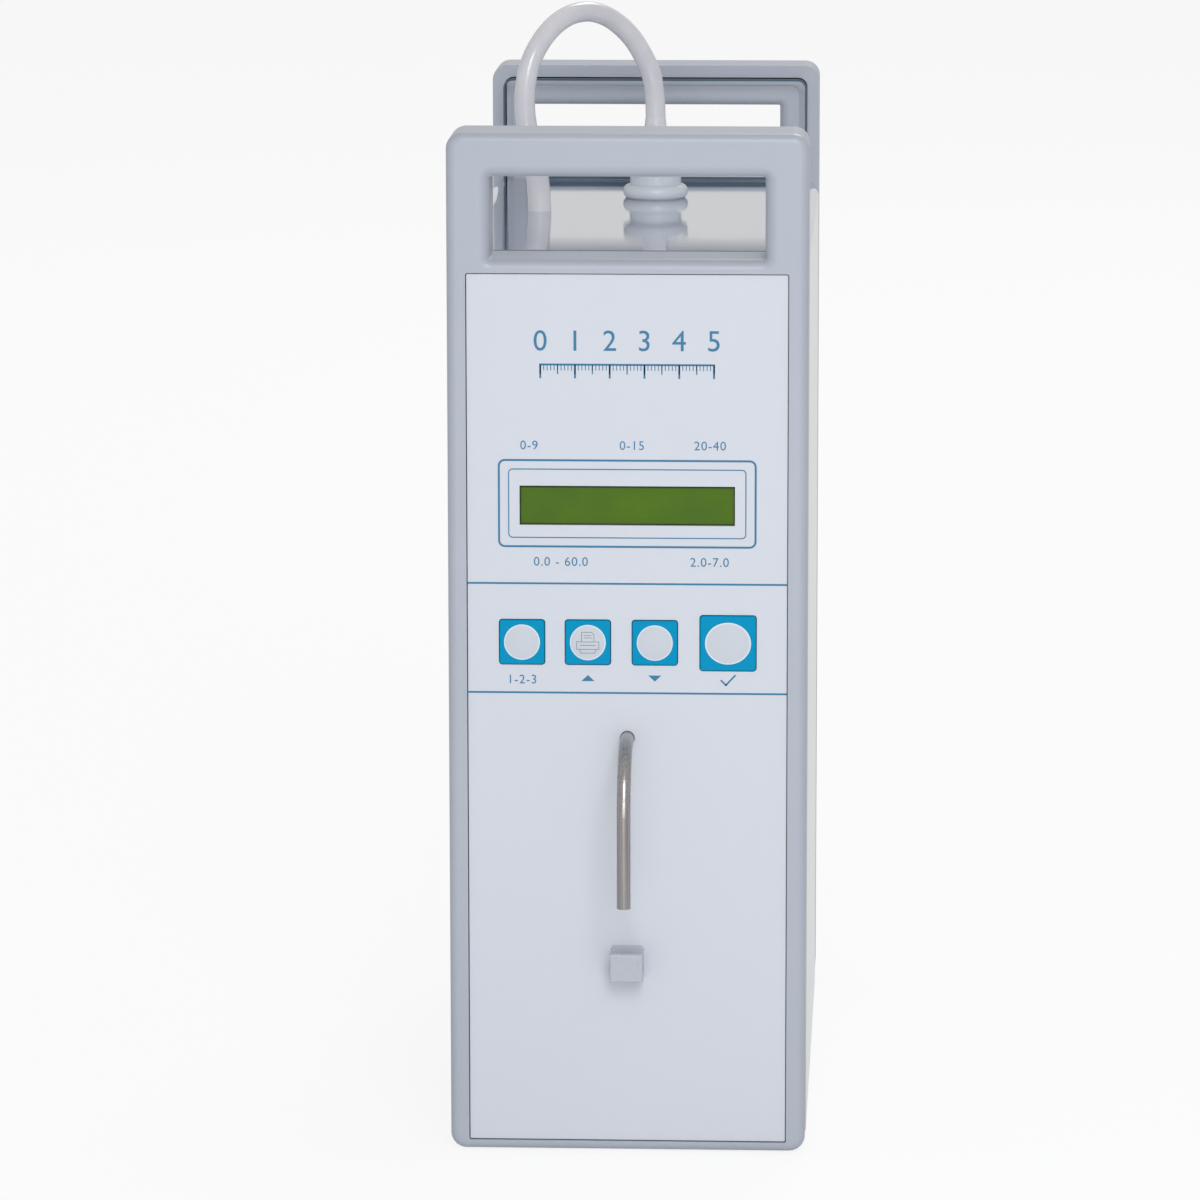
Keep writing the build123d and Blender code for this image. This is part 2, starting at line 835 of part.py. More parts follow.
def corner_radii(points, share):
    """The largest arc that each corner's two runs allow, with the given share of the shorter run."""
    radii = []
    for before, here, after in zip(points, points[1:], points[2:]):
        run_in = Vector(*here) - Vector(*before)
        run_out = Vector(*after) - Vector(*here)
        turn = radians(run_in.get_angle(run_out))
        radii.append(share * min(run_in.length, run_out.length) / tan(turn / 2))
    return radii


def outlet_hose():
    """The free hose loop, as straight runs joined by tangent arcs."""
    radii = corner_radii(hose_route, arc_share)
    print("hose radii", [round(radius, 1) for radius in radii])
    line = FilletPolyline(*hose_route, radius=radii)
    hose = swept_ring(line, hose_od / 2, hose_bore / 2)
    section = pi * (hose_od ** 2 - hose_bore ** 2) / 4
    print("hose length", round(line.length, 1), "volume ratio", round(hose.volume / (section * line.length), 4))
    return hose


# Rear panel and its connectors

plate_rear_back = -plate_back
plate_rear_face = plate_rear_back + plate_thickness
rocker_seat = plate_rear_face + switch_flange_thickness - rocker_pivot_drop


def rear_plate():
    """The rear panel with its connector holes, vents and corner screw holes."""
    plate = slab_y(plate_width, plate_bottom, plate_top, plate_rear_back, plate_rear_face,
                   recess_corner_r - panel_fit)
    back = plate_rear_back - overrun
    ahead = plate_rear_face + overrun
    half_w = inlet_body_width / 2 + slip_fit
    half_h = inlet_body_height / 2 + slip_fit
    plate -= block(inlet_x - half_w, inlet_x + half_w, back, ahead, inlet_z - half_h, inlet_z + half_h)
    half_w = switch_frame_width / 2 - switch_flange + slip_fit
    half_h = switch_frame_height / 2 - switch_flange + slip_fit
    plate -= block(switch_x - half_w, switch_x + half_w, back, ahead, switch_z - half_h, switch_z + half_h)
    plate -= rod_y(fuse_x, fuse_z, back, ahead, fuse_body_r + slip_fit)
    plate -= rod_y(dc_x, dc_z, back, ahead, dc_body_r + slip_fit)
    half_w = serial_shell_width / 2 + slip_fit
    half_h = serial_shell_height / 2 + slip_fit
    plate -= block(serial_x - half_w, serial_x + half_w, back, ahead, serial_z - half_h, serial_z + half_h)
    for x, z in panel_screw_places() + inlet_screw_places() + serial_screw_places():
        plate -= rod_y(x, z, back, ahead, screw_r + slip_fit)
    for step in range(rear_vent_count):
        z = vent_bottom + step * rear_vent_pitch
        plate -= slab_y(rear_vent_length, z - rear_vent_width / 2, z + rear_vent_width / 2, back, ahead,
                        rear_vent_width / 2 - pick_reach)
    return plate


def inlet_screw_places():
    """The two screws of the mains inlet."""
    return [(inlet_x + side * inlet_screw_pitch / 2, inlet_z) for side in (-1, 1)]


def serial_screw_places():
    """The two posts of the serial port."""
    return [(serial_x + side * serial_screw_pitch / 2, serial_z) for side in (-1, 1)]


def mains_inlet():
    """The inlet's flange and hollow body, with cut lower corners."""
    seat = plate_rear_face
    inlet = slab_y(inlet_flange_width, inlet_z - inlet_flange_height / 2, inlet_z + inlet_flange_height / 2,
                   seat, seat + inlet_flange_thickness, frame_corner_r, inlet_x)
    inlet += block(inlet_x - inlet_body_width / 2, inlet_x + inlet_body_width / 2,
                   seat - inlet_body_depth, seat, inlet_z - inlet_body_height / 2, inlet_z + inlet_body_height / 2)
    mouth = seat + inlet_flange_thickness
    cavity = block(inlet_x - inlet_cavity_width / 2, inlet_x + inlet_cavity_width / 2,
                   mouth - inlet_cavity_depth, mouth + overrun,
                   inlet_z - inlet_cavity_height / 2, inlet_z + inlet_cavity_height / 2)
    cavity = chamfer(cavity.faces().sort_by(Axis.Z)[-1].edges().filter_by(Axis.Y), inlet_cut)
    inlet -= cavity
    for x, z in inlet_screw_places():
        inlet -= rod_y(x, z, seat - overrun, mouth + overrun, screw_r + slip_fit)
    for x, z in inlet_pin_places():
        inlet -= pin_block(x, z, seat - inlet_body_depth - overrun, mouth - inlet_cavity_depth + overrun)
    return inlet


def inlet_pin_places():
    """Live, neutral and earth."""
    low = inlet_z - pin_drop
    return [(inlet_x - pin_pitch / 2, low), (inlet_x + pin_pitch / 2, low), (inlet_x, inlet_z + earth_rise)]


def pin_block(x, z, y_from, y_to):
    """One flat contact pin."""
    return block(x - pin_thickness / 2, x + pin_thickness / 2, y_from, y_to, z - pin_width / 2, z + pin_width / 2)


def inlet_pins():
    """The three contact pins, which run through the inlet's back."""
    floor = plate_rear_face + inlet_flange_thickness - inlet_cavity_depth
    return [pin_block(x, z, floor - pin_tail, floor + pin_length) for x, z in inlet_pin_places()]


def power_switch():
    """The switch's frame and hollow body, with the rocker's two pivot holes."""
    seat = plate_rear_face
    switch = slab_y(switch_frame_width, switch_z - switch_frame_height / 2, switch_z + switch_frame_height / 2,
                    seat, seat + switch_flange_thickness, switch_flange, switch_x)
    half_w = switch_frame_width / 2 - switch_flange
    half_h = switch_frame_height / 2 - switch_flange
    switch += block(switch_x - half_w, switch_x + half_w, seat - switch_body_depth, seat,
                    switch_z - half_h, switch_z + half_h)
    cavity_w = rocker_width / 2 + body_gap
    cavity_h = rocker_r + body_gap
    switch -= block(switch_x - cavity_w, switch_x + cavity_w,
                    seat - switch_body_depth + switch_wall, seat + switch_flange_thickness + overrun,
                    switch_z - cavity_h, switch_z + cavity_h)
    reach = rocker_width / 2 + rocker_pin_length + running_fit
    switch -= rod_x(rocker_seat, switch_z, switch_x - reach, switch_x + reach, rocker_pin_r + running_fit)
    return switch


def power_rocker():
    """The rocker: a disc about its pivot, cut to two shallow faces outside and flat inside, at one stop."""
    left = switch_x - rocker_width / 2
    right = switch_x + rocker_width / 2
    body = rod_x(0, 0, left, right, rocker_r)
    crest = rocker_crest
    tip = rocker_crest + rocker_lift
    edge = rocker_r + overrun
    cut = make_face(Polyline((0, crest, 0), (0, tip, edge), (0, edge, edge), (0, edge, -edge), (0, tip, -edge),
                             close=True))
    body -= Pos(left - overrun, 0, 0) * extrude(cut, rocker_width + 2 * overrun, dir=(1, 0, 0))
    body -= block(left - overrun, right + overrun, -edge, -rocker_pin_r - rocker_crest, -edge, edge)
    pins = rod_x(0, 0, left - rocker_pin_length, right + rocker_pin_length, rocker_pin_r)
    return Pos(0, rocker_seat, switch_z) * Rot(-rocker_throw / 2, 0, 0) * (body + pins)


def fuse_holder():
    """The round holder behind the panel."""
    seat = plate_rear_face
    holder = rod_y(fuse_x, fuse_z, seat, seat + fuse_flange_thickness, fuse_flange_r)
    holder += rod_y(fuse_x, fuse_z, seat - fuse_body_length, seat, fuse_body_r)
    holder -= rod_y(fuse_x, fuse_z, seat - fuse_body_length + fuse_flange_thickness,
                    seat + fuse_flange_thickness + overrun, fuse_bore_r)
    return holder


def fuse_cap():
    """The turning cap, with its slot and the stem that enters the holder."""
    seat = plate_rear_face + fuse_flange_thickness
    cap = rod_y(fuse_x, fuse_z, seat, seat + fuse_cap_height, fuse_cap_r)
    cap = chamfer(cap.faces().sort_by(Axis.Y)[-1].edges(), fuse_slot_depth / 2)
    cap += rod_y(fuse_x, fuse_z, seat - fuse_stem_length, seat, fuse_stem_r)
    top = seat + fuse_cap_height
    cap -= block(fuse_x - fuse_cap_r, fuse_x + fuse_cap_r, top - fuse_slot_depth, top + overrun,
                 fuse_z - fuse_slot_width / 2, fuse_z + fuse_slot_width / 2)
    cap -= rod_y(fuse_x, fuse_z, seat - fuse_stem_length - overrun, seat - fuse_slot_depth,
                 fuse_end_r + body_gap)
    return cap


def fuse_link():
    """The glass fuse, standing on the holder's floor."""
    floor = plate_rear_face - fuse_body_length + fuse_flange_thickness
    fuse = rod_y(fuse_x, fuse_z, floor, floor + fuse_glass_length, fuse_glass_r)
    fuse += rod_y(fuse_x, fuse_z, floor, floor + fuse_end_length, fuse_end_r)
    fuse += rod_y(fuse_x, fuse_z, floor + fuse_glass_length - fuse_end_length, floor + fuse_glass_length,
                  fuse_end_r)
    return fuse


def serial_port():
    """A D-shaped socket with its flange and body."""
    seat = plate_rear_face
    flange = block(serial_x - serial_flange_width / 2, serial_x + serial_flange_width / 2,
                   plate_rear_back - serial_flange_thickness, plate_rear_back,
                   serial_z - serial_flange_height / 2, serial_z + serial_flange_height / 2)
    for x, z in serial_screw_places():
        flange -= rod_y(x, z, plate_rear_back - serial_body_depth, plate_rear_back + overrun, screw_r + slip_fit)
    half_w = serial_shell_width / 2
    half_h = serial_shell_height / 2
    outline = make_face(Polyline((serial_x - half_w, 0, serial_z + half_h),
                                 (serial_x + half_w, 0, serial_z + half_h),
                                 (serial_x + half_w - serial_shell_slope, 0, serial_z - half_h),
                                 (serial_x - half_w + serial_shell_slope, 0, serial_z - half_h), close=True))
    reach = serial_shell_proud + plate_thickness
    shell = Pos(0, plate_rear_back, 0) * extrude(outline, reach, dir=(0, 1, 0))
    shell = fillet(shell.edges().filter_by(Axis.Y), serial_shell_slope / 2)
    body = block(serial_x - half_w, serial_x + half_w, plate_rear_back - serial_body_depth,
                 plate_rear_back - serial_flange_thickness, serial_z - half_h, serial_z + half_h)
    port = flange + shell + body
    port -= serial_holes(seat)
    return port


def serial_holes(seat):
    """Nine contact holes in two rows."""
    hole_r = serial_shell_slope / 3
    pitch = serial_shell_width / 7
    row = serial_shell_height / 6
    holes = [rod_y(serial_x + (step - 2) * pitch, serial_z + row, seat, seat + serial_body_depth, hole_r)
             for step in range(5)]
    holes += [rod_y(serial_x + (step - 3 / 2) * pitch, serial_z - row, seat, seat + serial_body_depth, hole_r)
              for step in range(4)]
    return holes


def serial_posts():
    """The two hexagonal posts that hold the port and take the plug's screws."""
    post = hex_nut(serial_post_af, serial_post_height, screw_r / 2)
    group = []
    for x, z in serial_screw_places():
        head = Pos(x, plate_rear_face, z) * Rot(-90, 0, 0) * post
        shank = rod_y(x, z, plate_rear_face - screw_length, plate_rear_face, screw_r)
        group.append(head + shank)
    return group


def dc_socket():
    """The low-voltage socket with its centre pin."""
    seat = plate_rear_face
    mouth = seat + dc_flange_thickness
    socket = rod_y(dc_x, dc_z, seat, mouth, dc_flange_r)
    socket += rod_y(dc_x, dc_z, seat - dc_body_length, seat, dc_body_r)
    socket -= rod_y(dc_x, dc_z, mouth - dc_bore_depth, mouth + overrun, dc_bore_r)
    socket += rod_y(dc_x, dc_z, mouth - dc_bore_depth, mouth - overrun, dc_pin_r)
    return socket


# Inner frame, pump and measuring cell

tray_floor = rim_floor + tray_thickness
wall_back = wall_x + wall_thickness
pump_left = wall_x - pump_depth
rotor_left = pump_left + rotor_side_gap
rotor_right = wall_x - pump_back - rotor_side_gap
orbit_r = track_r - squeezed_tube - body_gap - roller_r
roller_middle = (rotor_left + rotor_right) / 2
cell_y_front = wall_front + cell_setback
cell_y_rear = cell_y_front + cell_length
cell_left = wall_x - cell_width
cell_mid_x = (cell_left + wall_x) / 2
cell_axis_z = tube_exit_z
cell_bottom = cell_axis_z - cell_height / 2
cell_top = cell_axis_z + cell_height / 2
supply_x = cover_inner - supply_gap - supply_width
cell_axis_y = (cell_y_front + cell_y_rear) / 2


def inner_frame():
    """A bent bracket: an upright wall and a foot on the tray."""
    frame = block(wall_x, wall_back, wall_front, wall_rear, tray_floor, wall_top)
    frame += block(wall_back, wall_back + wall_foot, wall_front, pump_y - motor_size / 2 - cell_setback,
                   tray_floor, tray_floor + wall_thickness)
    frame -= rod_x(pump_y, pump_z, wall_x - overrun, wall_back + overrun, motor_boss_r + slip_fit)
    return frame


def pump_housing():
    """The pump block: round cavity, raceway and two slots for the tube."""
    half = pump_block / 2
    housing = block(pump_left, wall_x, pump_y - half, pump_y + half, pump_z - half, pump_z + half)
    housing = fillet(housing.edges().filter_by(Axis.X), frame_corner_r)
    housing -= rod_x(pump_y, pump_z, pump_left - overrun, wall_x - pump_back, track_r)
    housing -= rod_x(pump_y, pump_z, pump_left - overrun, wall_x + overrun, motor_shaft_r + body_gap)
    tube_r = pump_tube_od / 2 + body_gap
    for side in (-1, 1):
        y = pump_y + side * (track_r - tube_r)
        housing -= block(roller_middle - squeezed_tube_width / 2 - body_gap,
                         roller_middle + squeezed_tube_width / 2 + body_gap,
                         y - tube_r, y + tube_r, pump_z, pump_z + half + overrun)
    return housing


def pump_lid():
    """The clear lid of the pump."""
    half = pump_block / 2
    lid = block(pump_left - pump_lid_thickness, pump_left, pump_y - half, pump_y + half,
                pump_z - half, pump_z + half)
    return fillet(lid.edges().filter_by(Axis.X), frame_corner_r)


def roller_places():
    """The pins' centres, evenly round the rotor."""
    turn = 2 * pi / roller_count
    return [(pump_y + orbit_r * sin(step * turn), pump_z + orbit_r * cos(step * turn))
            for step in range(roller_count)]


def pump_rotor():
    """Two discs joined by a hub and by the roller pins."""
    rotor = rod_x(pump_y, pump_z, rotor_left, rotor_right, rotor_hub_r)
    disc = rotor_disc_thickness
    rotor += rod_x(pump_y, pump_z, rotor_left, rotor_left + disc, rotor_disc_r)
    rotor += rod_x(pump_y, pump_z, rotor_right - disc, rotor_right, rotor_disc_r)
    for y, z in roller_places():
        rotor += rod_x(y, z, rotor_left, rotor_right, roller_pin_r)
    rotor -= rod_x(pump_y, pump_z, rotor_left - overrun, rotor_right + overrun, motor_shaft_r)
    return rotor


def pump_roller(index):
    """One free roller on its pin."""
    y, z = roller_places()[index]
    half = roller_length / 2
    roller = rod_x(y, z, roller_middle - half, roller_middle + half, roller_r)
    roller -= rod_x(y, z, roller_middle - roller_length, roller_middle + roller_length,
                    roller_pin_r + running_fit)
    return roller


def pump_tube():
    """The squeezed tube: half a turn along the raceway, and two upright legs."""
    outer = rod_x(pump_y, pump_z, roller_middle - squeezed_tube_width / 2,
                  roller_middle + squeezed_tube_width / 2, track_r)
    outer -= rod_x(pump_y, pump_z, roller_middle - squeezed_tube_width, roller_middle + squeezed_tube_width,
                   track_r - squeezed_tube)
    half = pump_block / 2
    tube = outer & block(pump_left, wall_x, pump_y - half, pump_y + half, pump_z - half, pump_z)
    for side in (-1, 1):
        y = pump_y + side * (track_r - squeezed_tube / 2)
        tube += block(roller_middle - squeezed_tube_width / 2, roller_middle + squeezed_tube_width / 2,
                      y - squeezed_tube / 2, y + squeezed_tube / 2, pump_z, pump_z + half)
    return tube


def pump_motor():
    """The motor on the other side of the wall, with its pilot boss."""
    half = motor_size / 2
    motor = block(wall_back, wall_back + motor_length, pump_y - half, pump_y + half, pump_z - half, pump_z + half)
    motor = chamfer(motor.edges().filter_by(Axis.X), motor_edge)
    motor += rod_x(pump_y, pump_z, wall_x, wall_back, motor_boss_r)
    motor -= rod_x(pump_y, pump_z, wall_x - overrun, wall_back + motor_length - motor_edge,
                   motor_shaft_r + running_fit)
    return motor


def motor_shaft():
    """The shaft that drives the rotor."""
    return rod_x(pump_y, pump_z, rotor_left, wall_back + motor_length - 2 * motor_edge, motor_shaft_r)


def sensor_cell():
    """The measuring block, with a round seat at each end for a transducer."""
    cell = block(cell_left, wall_x, cell_y_front, cell_y_rear, cell_bottom, cell_top)
    cell = chamfer(cell.edges().filter_by(Axis.X), cell_edge)
    for z_from, z_to in ((cell_bottom - overrun, cell_bottom + cell_bore_depth),
                         (cell_top - cell_bore_depth, cell_top + overrun)):
        cell -= rod_z(cell_mid_x, cell_axis_y, z_from, z_to, cell_bore_r)
    return cell


def transducers():
    """The two sound transducers, seated in the ends of the cell."""
    group = []
    for way, seat in ((-1, cell_bottom + cell_bore_depth), (1, cell_top - cell_bore_depth)):
        stem_end = seat + way * cell_bore_depth
        head_end = stem_end + way * transducer_length
        stem = rod_z(cell_mid_x, cell_axis_y, min(seat, stem_end), max(seat, stem_end), cell_bore_r - slip_fit)
        head = rod_z(cell_mid_x, cell_axis_y, min(stem_end, head_end), max(stem_end, head_end), transducer_r)
        group.append(stem + head)
    return group


def sample_line():
    """The soft sleeve that joins the steel tube to the cell."""
    line = rod_y(0, tube_exit_z, plate_back + bushing_length, cell_y_front, hose_od / 2)
    line -= rod_y(0, tube_exit_z, plate_back, cell_y_front + overrun, sample_tube_od / 2)
    return line


def suction_line():
    """The soft tube from the cell's rear face down to the pump."""
    y = pump_y - track_r + squeezed_tube / 2
    bend = tube_bend_r / 2
    line = FilletPolyline((roller_middle, cell_y_rear, cell_axis_z), (roller_middle, y, cell_axis_z),
                          (roller_middle, y, pump_z + pump_block / 2), radius=bend)
    return swept_ring(line, pump_tube_od / 2, 0)


def delivery_line():
    """The soft tube from the pump up to the hose fitting."""
    y = pump_y + track_r - squeezed_tube / 2
    top = cover_top - fitting_shank_length
    low = wall_top + (top - wall_top) / 3
    high = wall_top + 2 * (top - wall_top) / 3
    line = FilletPolyline((roller_middle, y, pump_z + pump_block / 2), (roller_middle, y, low),
                          (fitting_x, fitting_y, high), (fitting_x, fitting_y, top), radius=tube_bend_r / 2)
    return swept_ring(line, pump_tube_od / 2, 0)


def main_board():
    """The circuit board on four posts of the wall."""
    left = wall_back + main_board_post
    board = block(left, left + board_thickness, main_board_front, main_board_rear,
                  main_board_bottom, main_board_top)
    for y, z in main_board_places():
        board -= rod_x(y, z, wall_back, left + board_thickness + overrun, screw_r + slip_fit)
    return board


def main_board_places():
    """The holes of the main board."""
    inset = screw_inset
    return [(y, z) for y in (main_board_front + inset, main_board_rear - inset)
            for z in (main_board_bottom + inset, main_board_top - inset)]


def main_board_posts():
    """Four posts between the wall and the board."""
    return [rod_x(y, z, wall_back, wall_back + main_board_post, stand_off_r) for y, z in main_board_places()]


def board_parts():
    """The main board's larger parts: a processor, memory, a relay and capacitors, in shares of the board."""
    face = wall_back + main_board_post + board_thickness
    length = main_board_rear - main_board_front
    height = main_board_top - main_board_bottom
    layout_shares = [
        (0.42, 0.55, 0.22, 0.24, 1.0),
        (0.72, 0.62, 0.12, 0.18, 1.0),
        (0.22, 0.30, 0.16, 0.20, 5.0),
        (0.66, 0.25, 0.26, 0.10, 3.5),
    ]
    group = []
    for y_share, z_share, long_share, high_share, rise in layout_shares:
        y = main_board_front + y_share * length
        z = main_board_bottom + z_share * height
        group.append(block(face, face + rise * chip_height, y - long_share * length / 2,
                           y + long_share * length / 2, z - high_share * height / 2, z + high_share * height / 2))
    for step in range(3):
        y = main_board_front + length / 3 + step * 3 * stand_off_r
        group.append(rod_x(y, main_board_top - 2 * screw_inset, face, face + 4 * chip_height, stand_off_r))
    return group


def transformer_core():
    """The laminated core, with two windows for the winding."""
    core = block(supply_x, supply_x + supply_width, supply_y, supply_y + supply_length,
                 tray_floor, tray_floor + supply_height)
    for side in (-1, 1):
        middle = supply_x + supply_width / 2 + side * supply_width / 4
        half = supply_width / 4 - winding_margin / 2
        core -= block(middle - half / 2, middle + half / 2, supply_y - overrun, supply_y + supply_length + overrun,
                      tray_floor + winding_margin, tray_floor + supply_height - winding_margin)
    return core


def transformer_winding():
    """The winding: it passes through both windows and stands proud of the core's ends."""
    middle = supply_x + supply_width / 2
    quarter = supply_width / 4
    half_window = (quarter - winding_margin / 2) / 2
    outer_half = quarter + half_window - slip_fit
    inner_half = quarter - half_window + slip_fit
    z_from = tray_floor + winding_margin + slip_fit
    z_to = tray_floor + supply_height - winding_margin - slip_fit
    y_from = supply_y - winding_proud
    y_to = supply_y + supply_length + winding_proud
    winding = block(middle - outer_half, middle + outer_half, y_from, y_to, z_from, z_to)
    winding -= block(middle - inner_half, middle + inner_half, supply_y, supply_y + supply_length,
                     z_from - overrun, z_to + overrun)
    return winding


def save(name, shape):
    """Write one node, as one solid or as a group of separate solids."""
    if isinstance(shape, list):
        shape = Compound(children=[solid for item in shape for solid in item.solids()])
    export_step(shape, os.path.join("parts", name + ".step"))


def build():
    """Make every sub-part."""
    os.makedirs("parts", exist_ok=True)
    bezel = end_bezel()
    liner = end_liner()
    screws = liner_screws()
    lcd_board, lcd_places = board_with_holes(lcd_board_width, lcd_board_height, display_middle, lcd_hole_inset)
    key_board, key_places = board_with_holes(key_board_width, key_board_height, key_row, key_board_hole_inset)
    save("front_bezel", bezel)
    save("rear_bezel", front_to_rear(bezel))
    save("front_liner", liner)
    save("rear_liner", front_to_rear(liner))
    save("casing_cover", casing_cover())
    save("base_tray", base_tray())
    save("foot_pads", foot_pads())
    save("front_plate", panel_sheet(plate_front, plate_back))
    save("keypad_overlay", panel_sheet(overlay_front, plate_front))
    save("display_lens", display_lens())
    save("lcd_can", lcd_can())
    save("lcd_glass", lcd_glass())
    save("lcd_board", lcd_board)
    for name, (x, size, dome_r, dome_half_height) in keys.items():
        save(name, key_cap(x, size, dome_r, dome_half_height))
    save("key_board", key_board)
    save("board_posts", stand_offs(lcd_places + key_places) + main_board_posts())
    save("key_switches", key_switches())
    save("inner_screws", screws + [front_to_rear(screw) for screw in screws] + base_screws()
         + [screw_y(x, z, board_front + board_thickness, -1) for x, z in lcd_places + key_places])
    save("sample_tube", sample_tube())
    save("tube_bushing", tube_bushing())
    save("cup_hook", cup_hook())
    save("hook_nut", hook_nut())
    save("hose_fitting", hose_fitting())
    save("hose_cuff", hose_cuff())
    save("fitting_nut", fitting_nut())
    save("return_port", return_port())
    save("outlet_hose", outlet_hose())
    save("rear_plate", rear_plate())
    save("rear_screws", [screw_y(x, z, plate_rear_face, -1) for x, z in panel_screw_places()]
         + [screw_y(x, z, plate_rear_face + inlet_flange_thickness, -1) for x, z in inlet_screw_places()])
    save("mains_inlet", mains_inlet())
    save("inlet_pins", inlet_pins())
    save("power_switch", power_switch())
    save("power_rocker", power_rocker())
    save("fuse_holder", fuse_holder())
    save("fuse_cap", fuse_cap())
    save("fuse_link", fuse_link())
    save("serial_port", serial_port())
    save("serial_posts", serial_posts())
    save("dc_socket", dc_socket())
    save("inner_frame", inner_frame())
    save("pump_housing", pump_housing())
    save("pump_lid", pump_lid())
    save("pump_rotor", pump_rotor())
    for index in range(roller_count):
        save("pump_roller_" + str(index + 1), pump_roller(index))
    save("pump_tube", pump_tube())
    save("pump_motor", pump_motor())
    save("motor_shaft", motor_shaft())
    save("sensor_cell", sensor_cell())
    save("transducers", transducers())
    save("inner_tubes", [sample_line(), suction_line(), delivery_line()])
    save("main_board", main_board())
    save("board_parts", board_parts())
    save("transformer_core", transformer_core())
    save("transformer_winding", transformer_winding())


build()
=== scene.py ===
# %% [markdown]
# This lesson dresses a bench milk analyzer. Its solid parts come in as a fixed frame, in metres, with the
# front panel facing -Y. The lesson adds what the solids don't carry: the hose as a smooth curve, the print on
# the front film and the rocker, screws with a cross recess, the rear frame's seals and sill, and a finish for
# every part.

# %% Load the frame
import math

import bpy
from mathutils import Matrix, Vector


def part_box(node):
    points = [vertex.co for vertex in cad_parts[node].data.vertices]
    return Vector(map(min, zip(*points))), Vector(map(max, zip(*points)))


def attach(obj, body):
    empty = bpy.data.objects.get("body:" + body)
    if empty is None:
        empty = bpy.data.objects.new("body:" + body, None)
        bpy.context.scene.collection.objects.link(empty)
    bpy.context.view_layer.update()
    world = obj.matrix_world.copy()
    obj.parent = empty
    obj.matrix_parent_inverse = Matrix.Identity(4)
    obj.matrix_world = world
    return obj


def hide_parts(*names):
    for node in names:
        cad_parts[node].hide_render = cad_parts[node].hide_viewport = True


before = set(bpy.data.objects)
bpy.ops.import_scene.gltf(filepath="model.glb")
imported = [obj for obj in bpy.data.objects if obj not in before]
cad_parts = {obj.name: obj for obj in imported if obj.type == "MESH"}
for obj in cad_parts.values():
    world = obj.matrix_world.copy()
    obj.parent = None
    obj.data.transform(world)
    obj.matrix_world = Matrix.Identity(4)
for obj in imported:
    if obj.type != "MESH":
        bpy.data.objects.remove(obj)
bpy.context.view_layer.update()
MM = 0.001

# %% [markdown]
# The camera comes first, because everything is judged through it. It stands 1.9 m in front of the
# instrument, a little to the right and above, and looks down by about ten degrees. The long lens keeps
# the verticals close to parallel, as in a product photograph. Its direction is written as a turn and a tilt,
# because those two numbers can be reasoned about, while a rotation matrix can't.

# %% Camera
CAMERA_PLACE = (78.1 * MM, -1894.4 * MM, 484.8 * MM)
CAMERA_YAW = -2.767
CAMERA_PITCH = -10.188
CAMERA_ROLL = -0.078
FOCAL_PIXELS = 6255.8
IMAGE_PIXELS = 1200
SENSOR = 36.0
CLIP_END = 50.0


def look_direction(yaw, pitch):
    """The way the camera looks, from its turn to the side and its tilt, in degrees."""
    yaw = math.radians(yaw)
    pitch = math.radians(pitch)
    return Vector((math.sin(yaw) * math.cos(pitch), math.cos(yaw) * math.cos(pitch), math.sin(pitch)))


camera_data = bpy.data.cameras.new("front_camera")
camera_data.sensor_width = SENSOR
camera_data.lens = FOCAL_PIXELS / IMAGE_PIXELS * SENSOR
camera_data.clip_end = CLIP_END
camera = bpy.data.objects.new("front_camera", camera_data)
bpy.context.scene.collection.objects.link(camera)
camera.location = CAMERA_PLACE
turn = look_direction(CAMERA_YAW, CAMERA_PITCH).to_track_quat("-Z", "Y").to_matrix().to_4x4()
camera.rotation_euler = turn.to_euler()
camera.rotation_euler.rotate_axis("Z", math.radians(CAMERA_ROLL))
bpy.context.scene.camera = camera
print("lens", round(camera_data.lens, 1), "mm")

# %% [markdown]
# The hose is a soft silicone tube, 6.2 mm across. It could be a swept mesh, but a NURBS curve with a round
# bevel stays smooth at any distance and keeps its real length. Its control points are the corners of the
# route: up out of the cover, over in a loop, and down onto the sleeve of the fitting. Where the hose is
# pushed over the lower port it swells a little. The bevel is one metre and each point's radius scales it
# down to the hose's real radius, because a curve's box is reckoned with those radii.

# %% Hose
COVER_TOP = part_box("casing_cover")[1].z
HOSE_ROUTE = [
    (-32.0, 5.0, 0.0),
    (-32.0, 5.0, 8.1),
    (-35.0, 1.7, 21.1),
    (-36.7, -0.2, 35.6),
    (-34.0, 2.8, 48.6),
    (-25.9, 11.6, 58.6),
    (-15.8, 22.7, 60.1),
    (-6.3, 33.0, 52.9),
    (-0.3, 39.5, 42.1),
    (2.0, 42.0, 33.3),
    (2.0, 42.0, 25.0),
]
HOSE_SWELLING = [1.16, 1.14, 1.02, 1.0, 1.0, 1.0, 1.0, 1.0, 1.0, 1.0, 1.0]
HOSE_DIAMETER = 6.2 * MM

hose_data = bpy.data.curves.new("hose_loop", "CURVE")
hose_data.dimensions = "3D"
line = hose_data.splines.new("NURBS")
line.points.add(len(HOSE_ROUTE) - 1)
for point, (x, y, rise) in zip(line.points, HOSE_ROUTE):
    point.co = (x * MM, y * MM, COVER_TOP + rise * MM, 1.0)
for point, swelling in zip(line.points, HOSE_SWELLING):
    point.radius = swelling * HOSE_DIAMETER / 2
line.order_u = 3
line.use_endpoint_u = True
line.resolution_u = 12
hose_data.bevel_depth = 1.0
hose_data.bevel_resolution = 8
hose = bpy.data.objects.new("hose_loop", hose_data)
bpy.context.scene.collection.objects.link(hose)
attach(hose, "casing")
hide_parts("outlet_hose")
print("hose", len(HOSE_ROUTE), "control points")

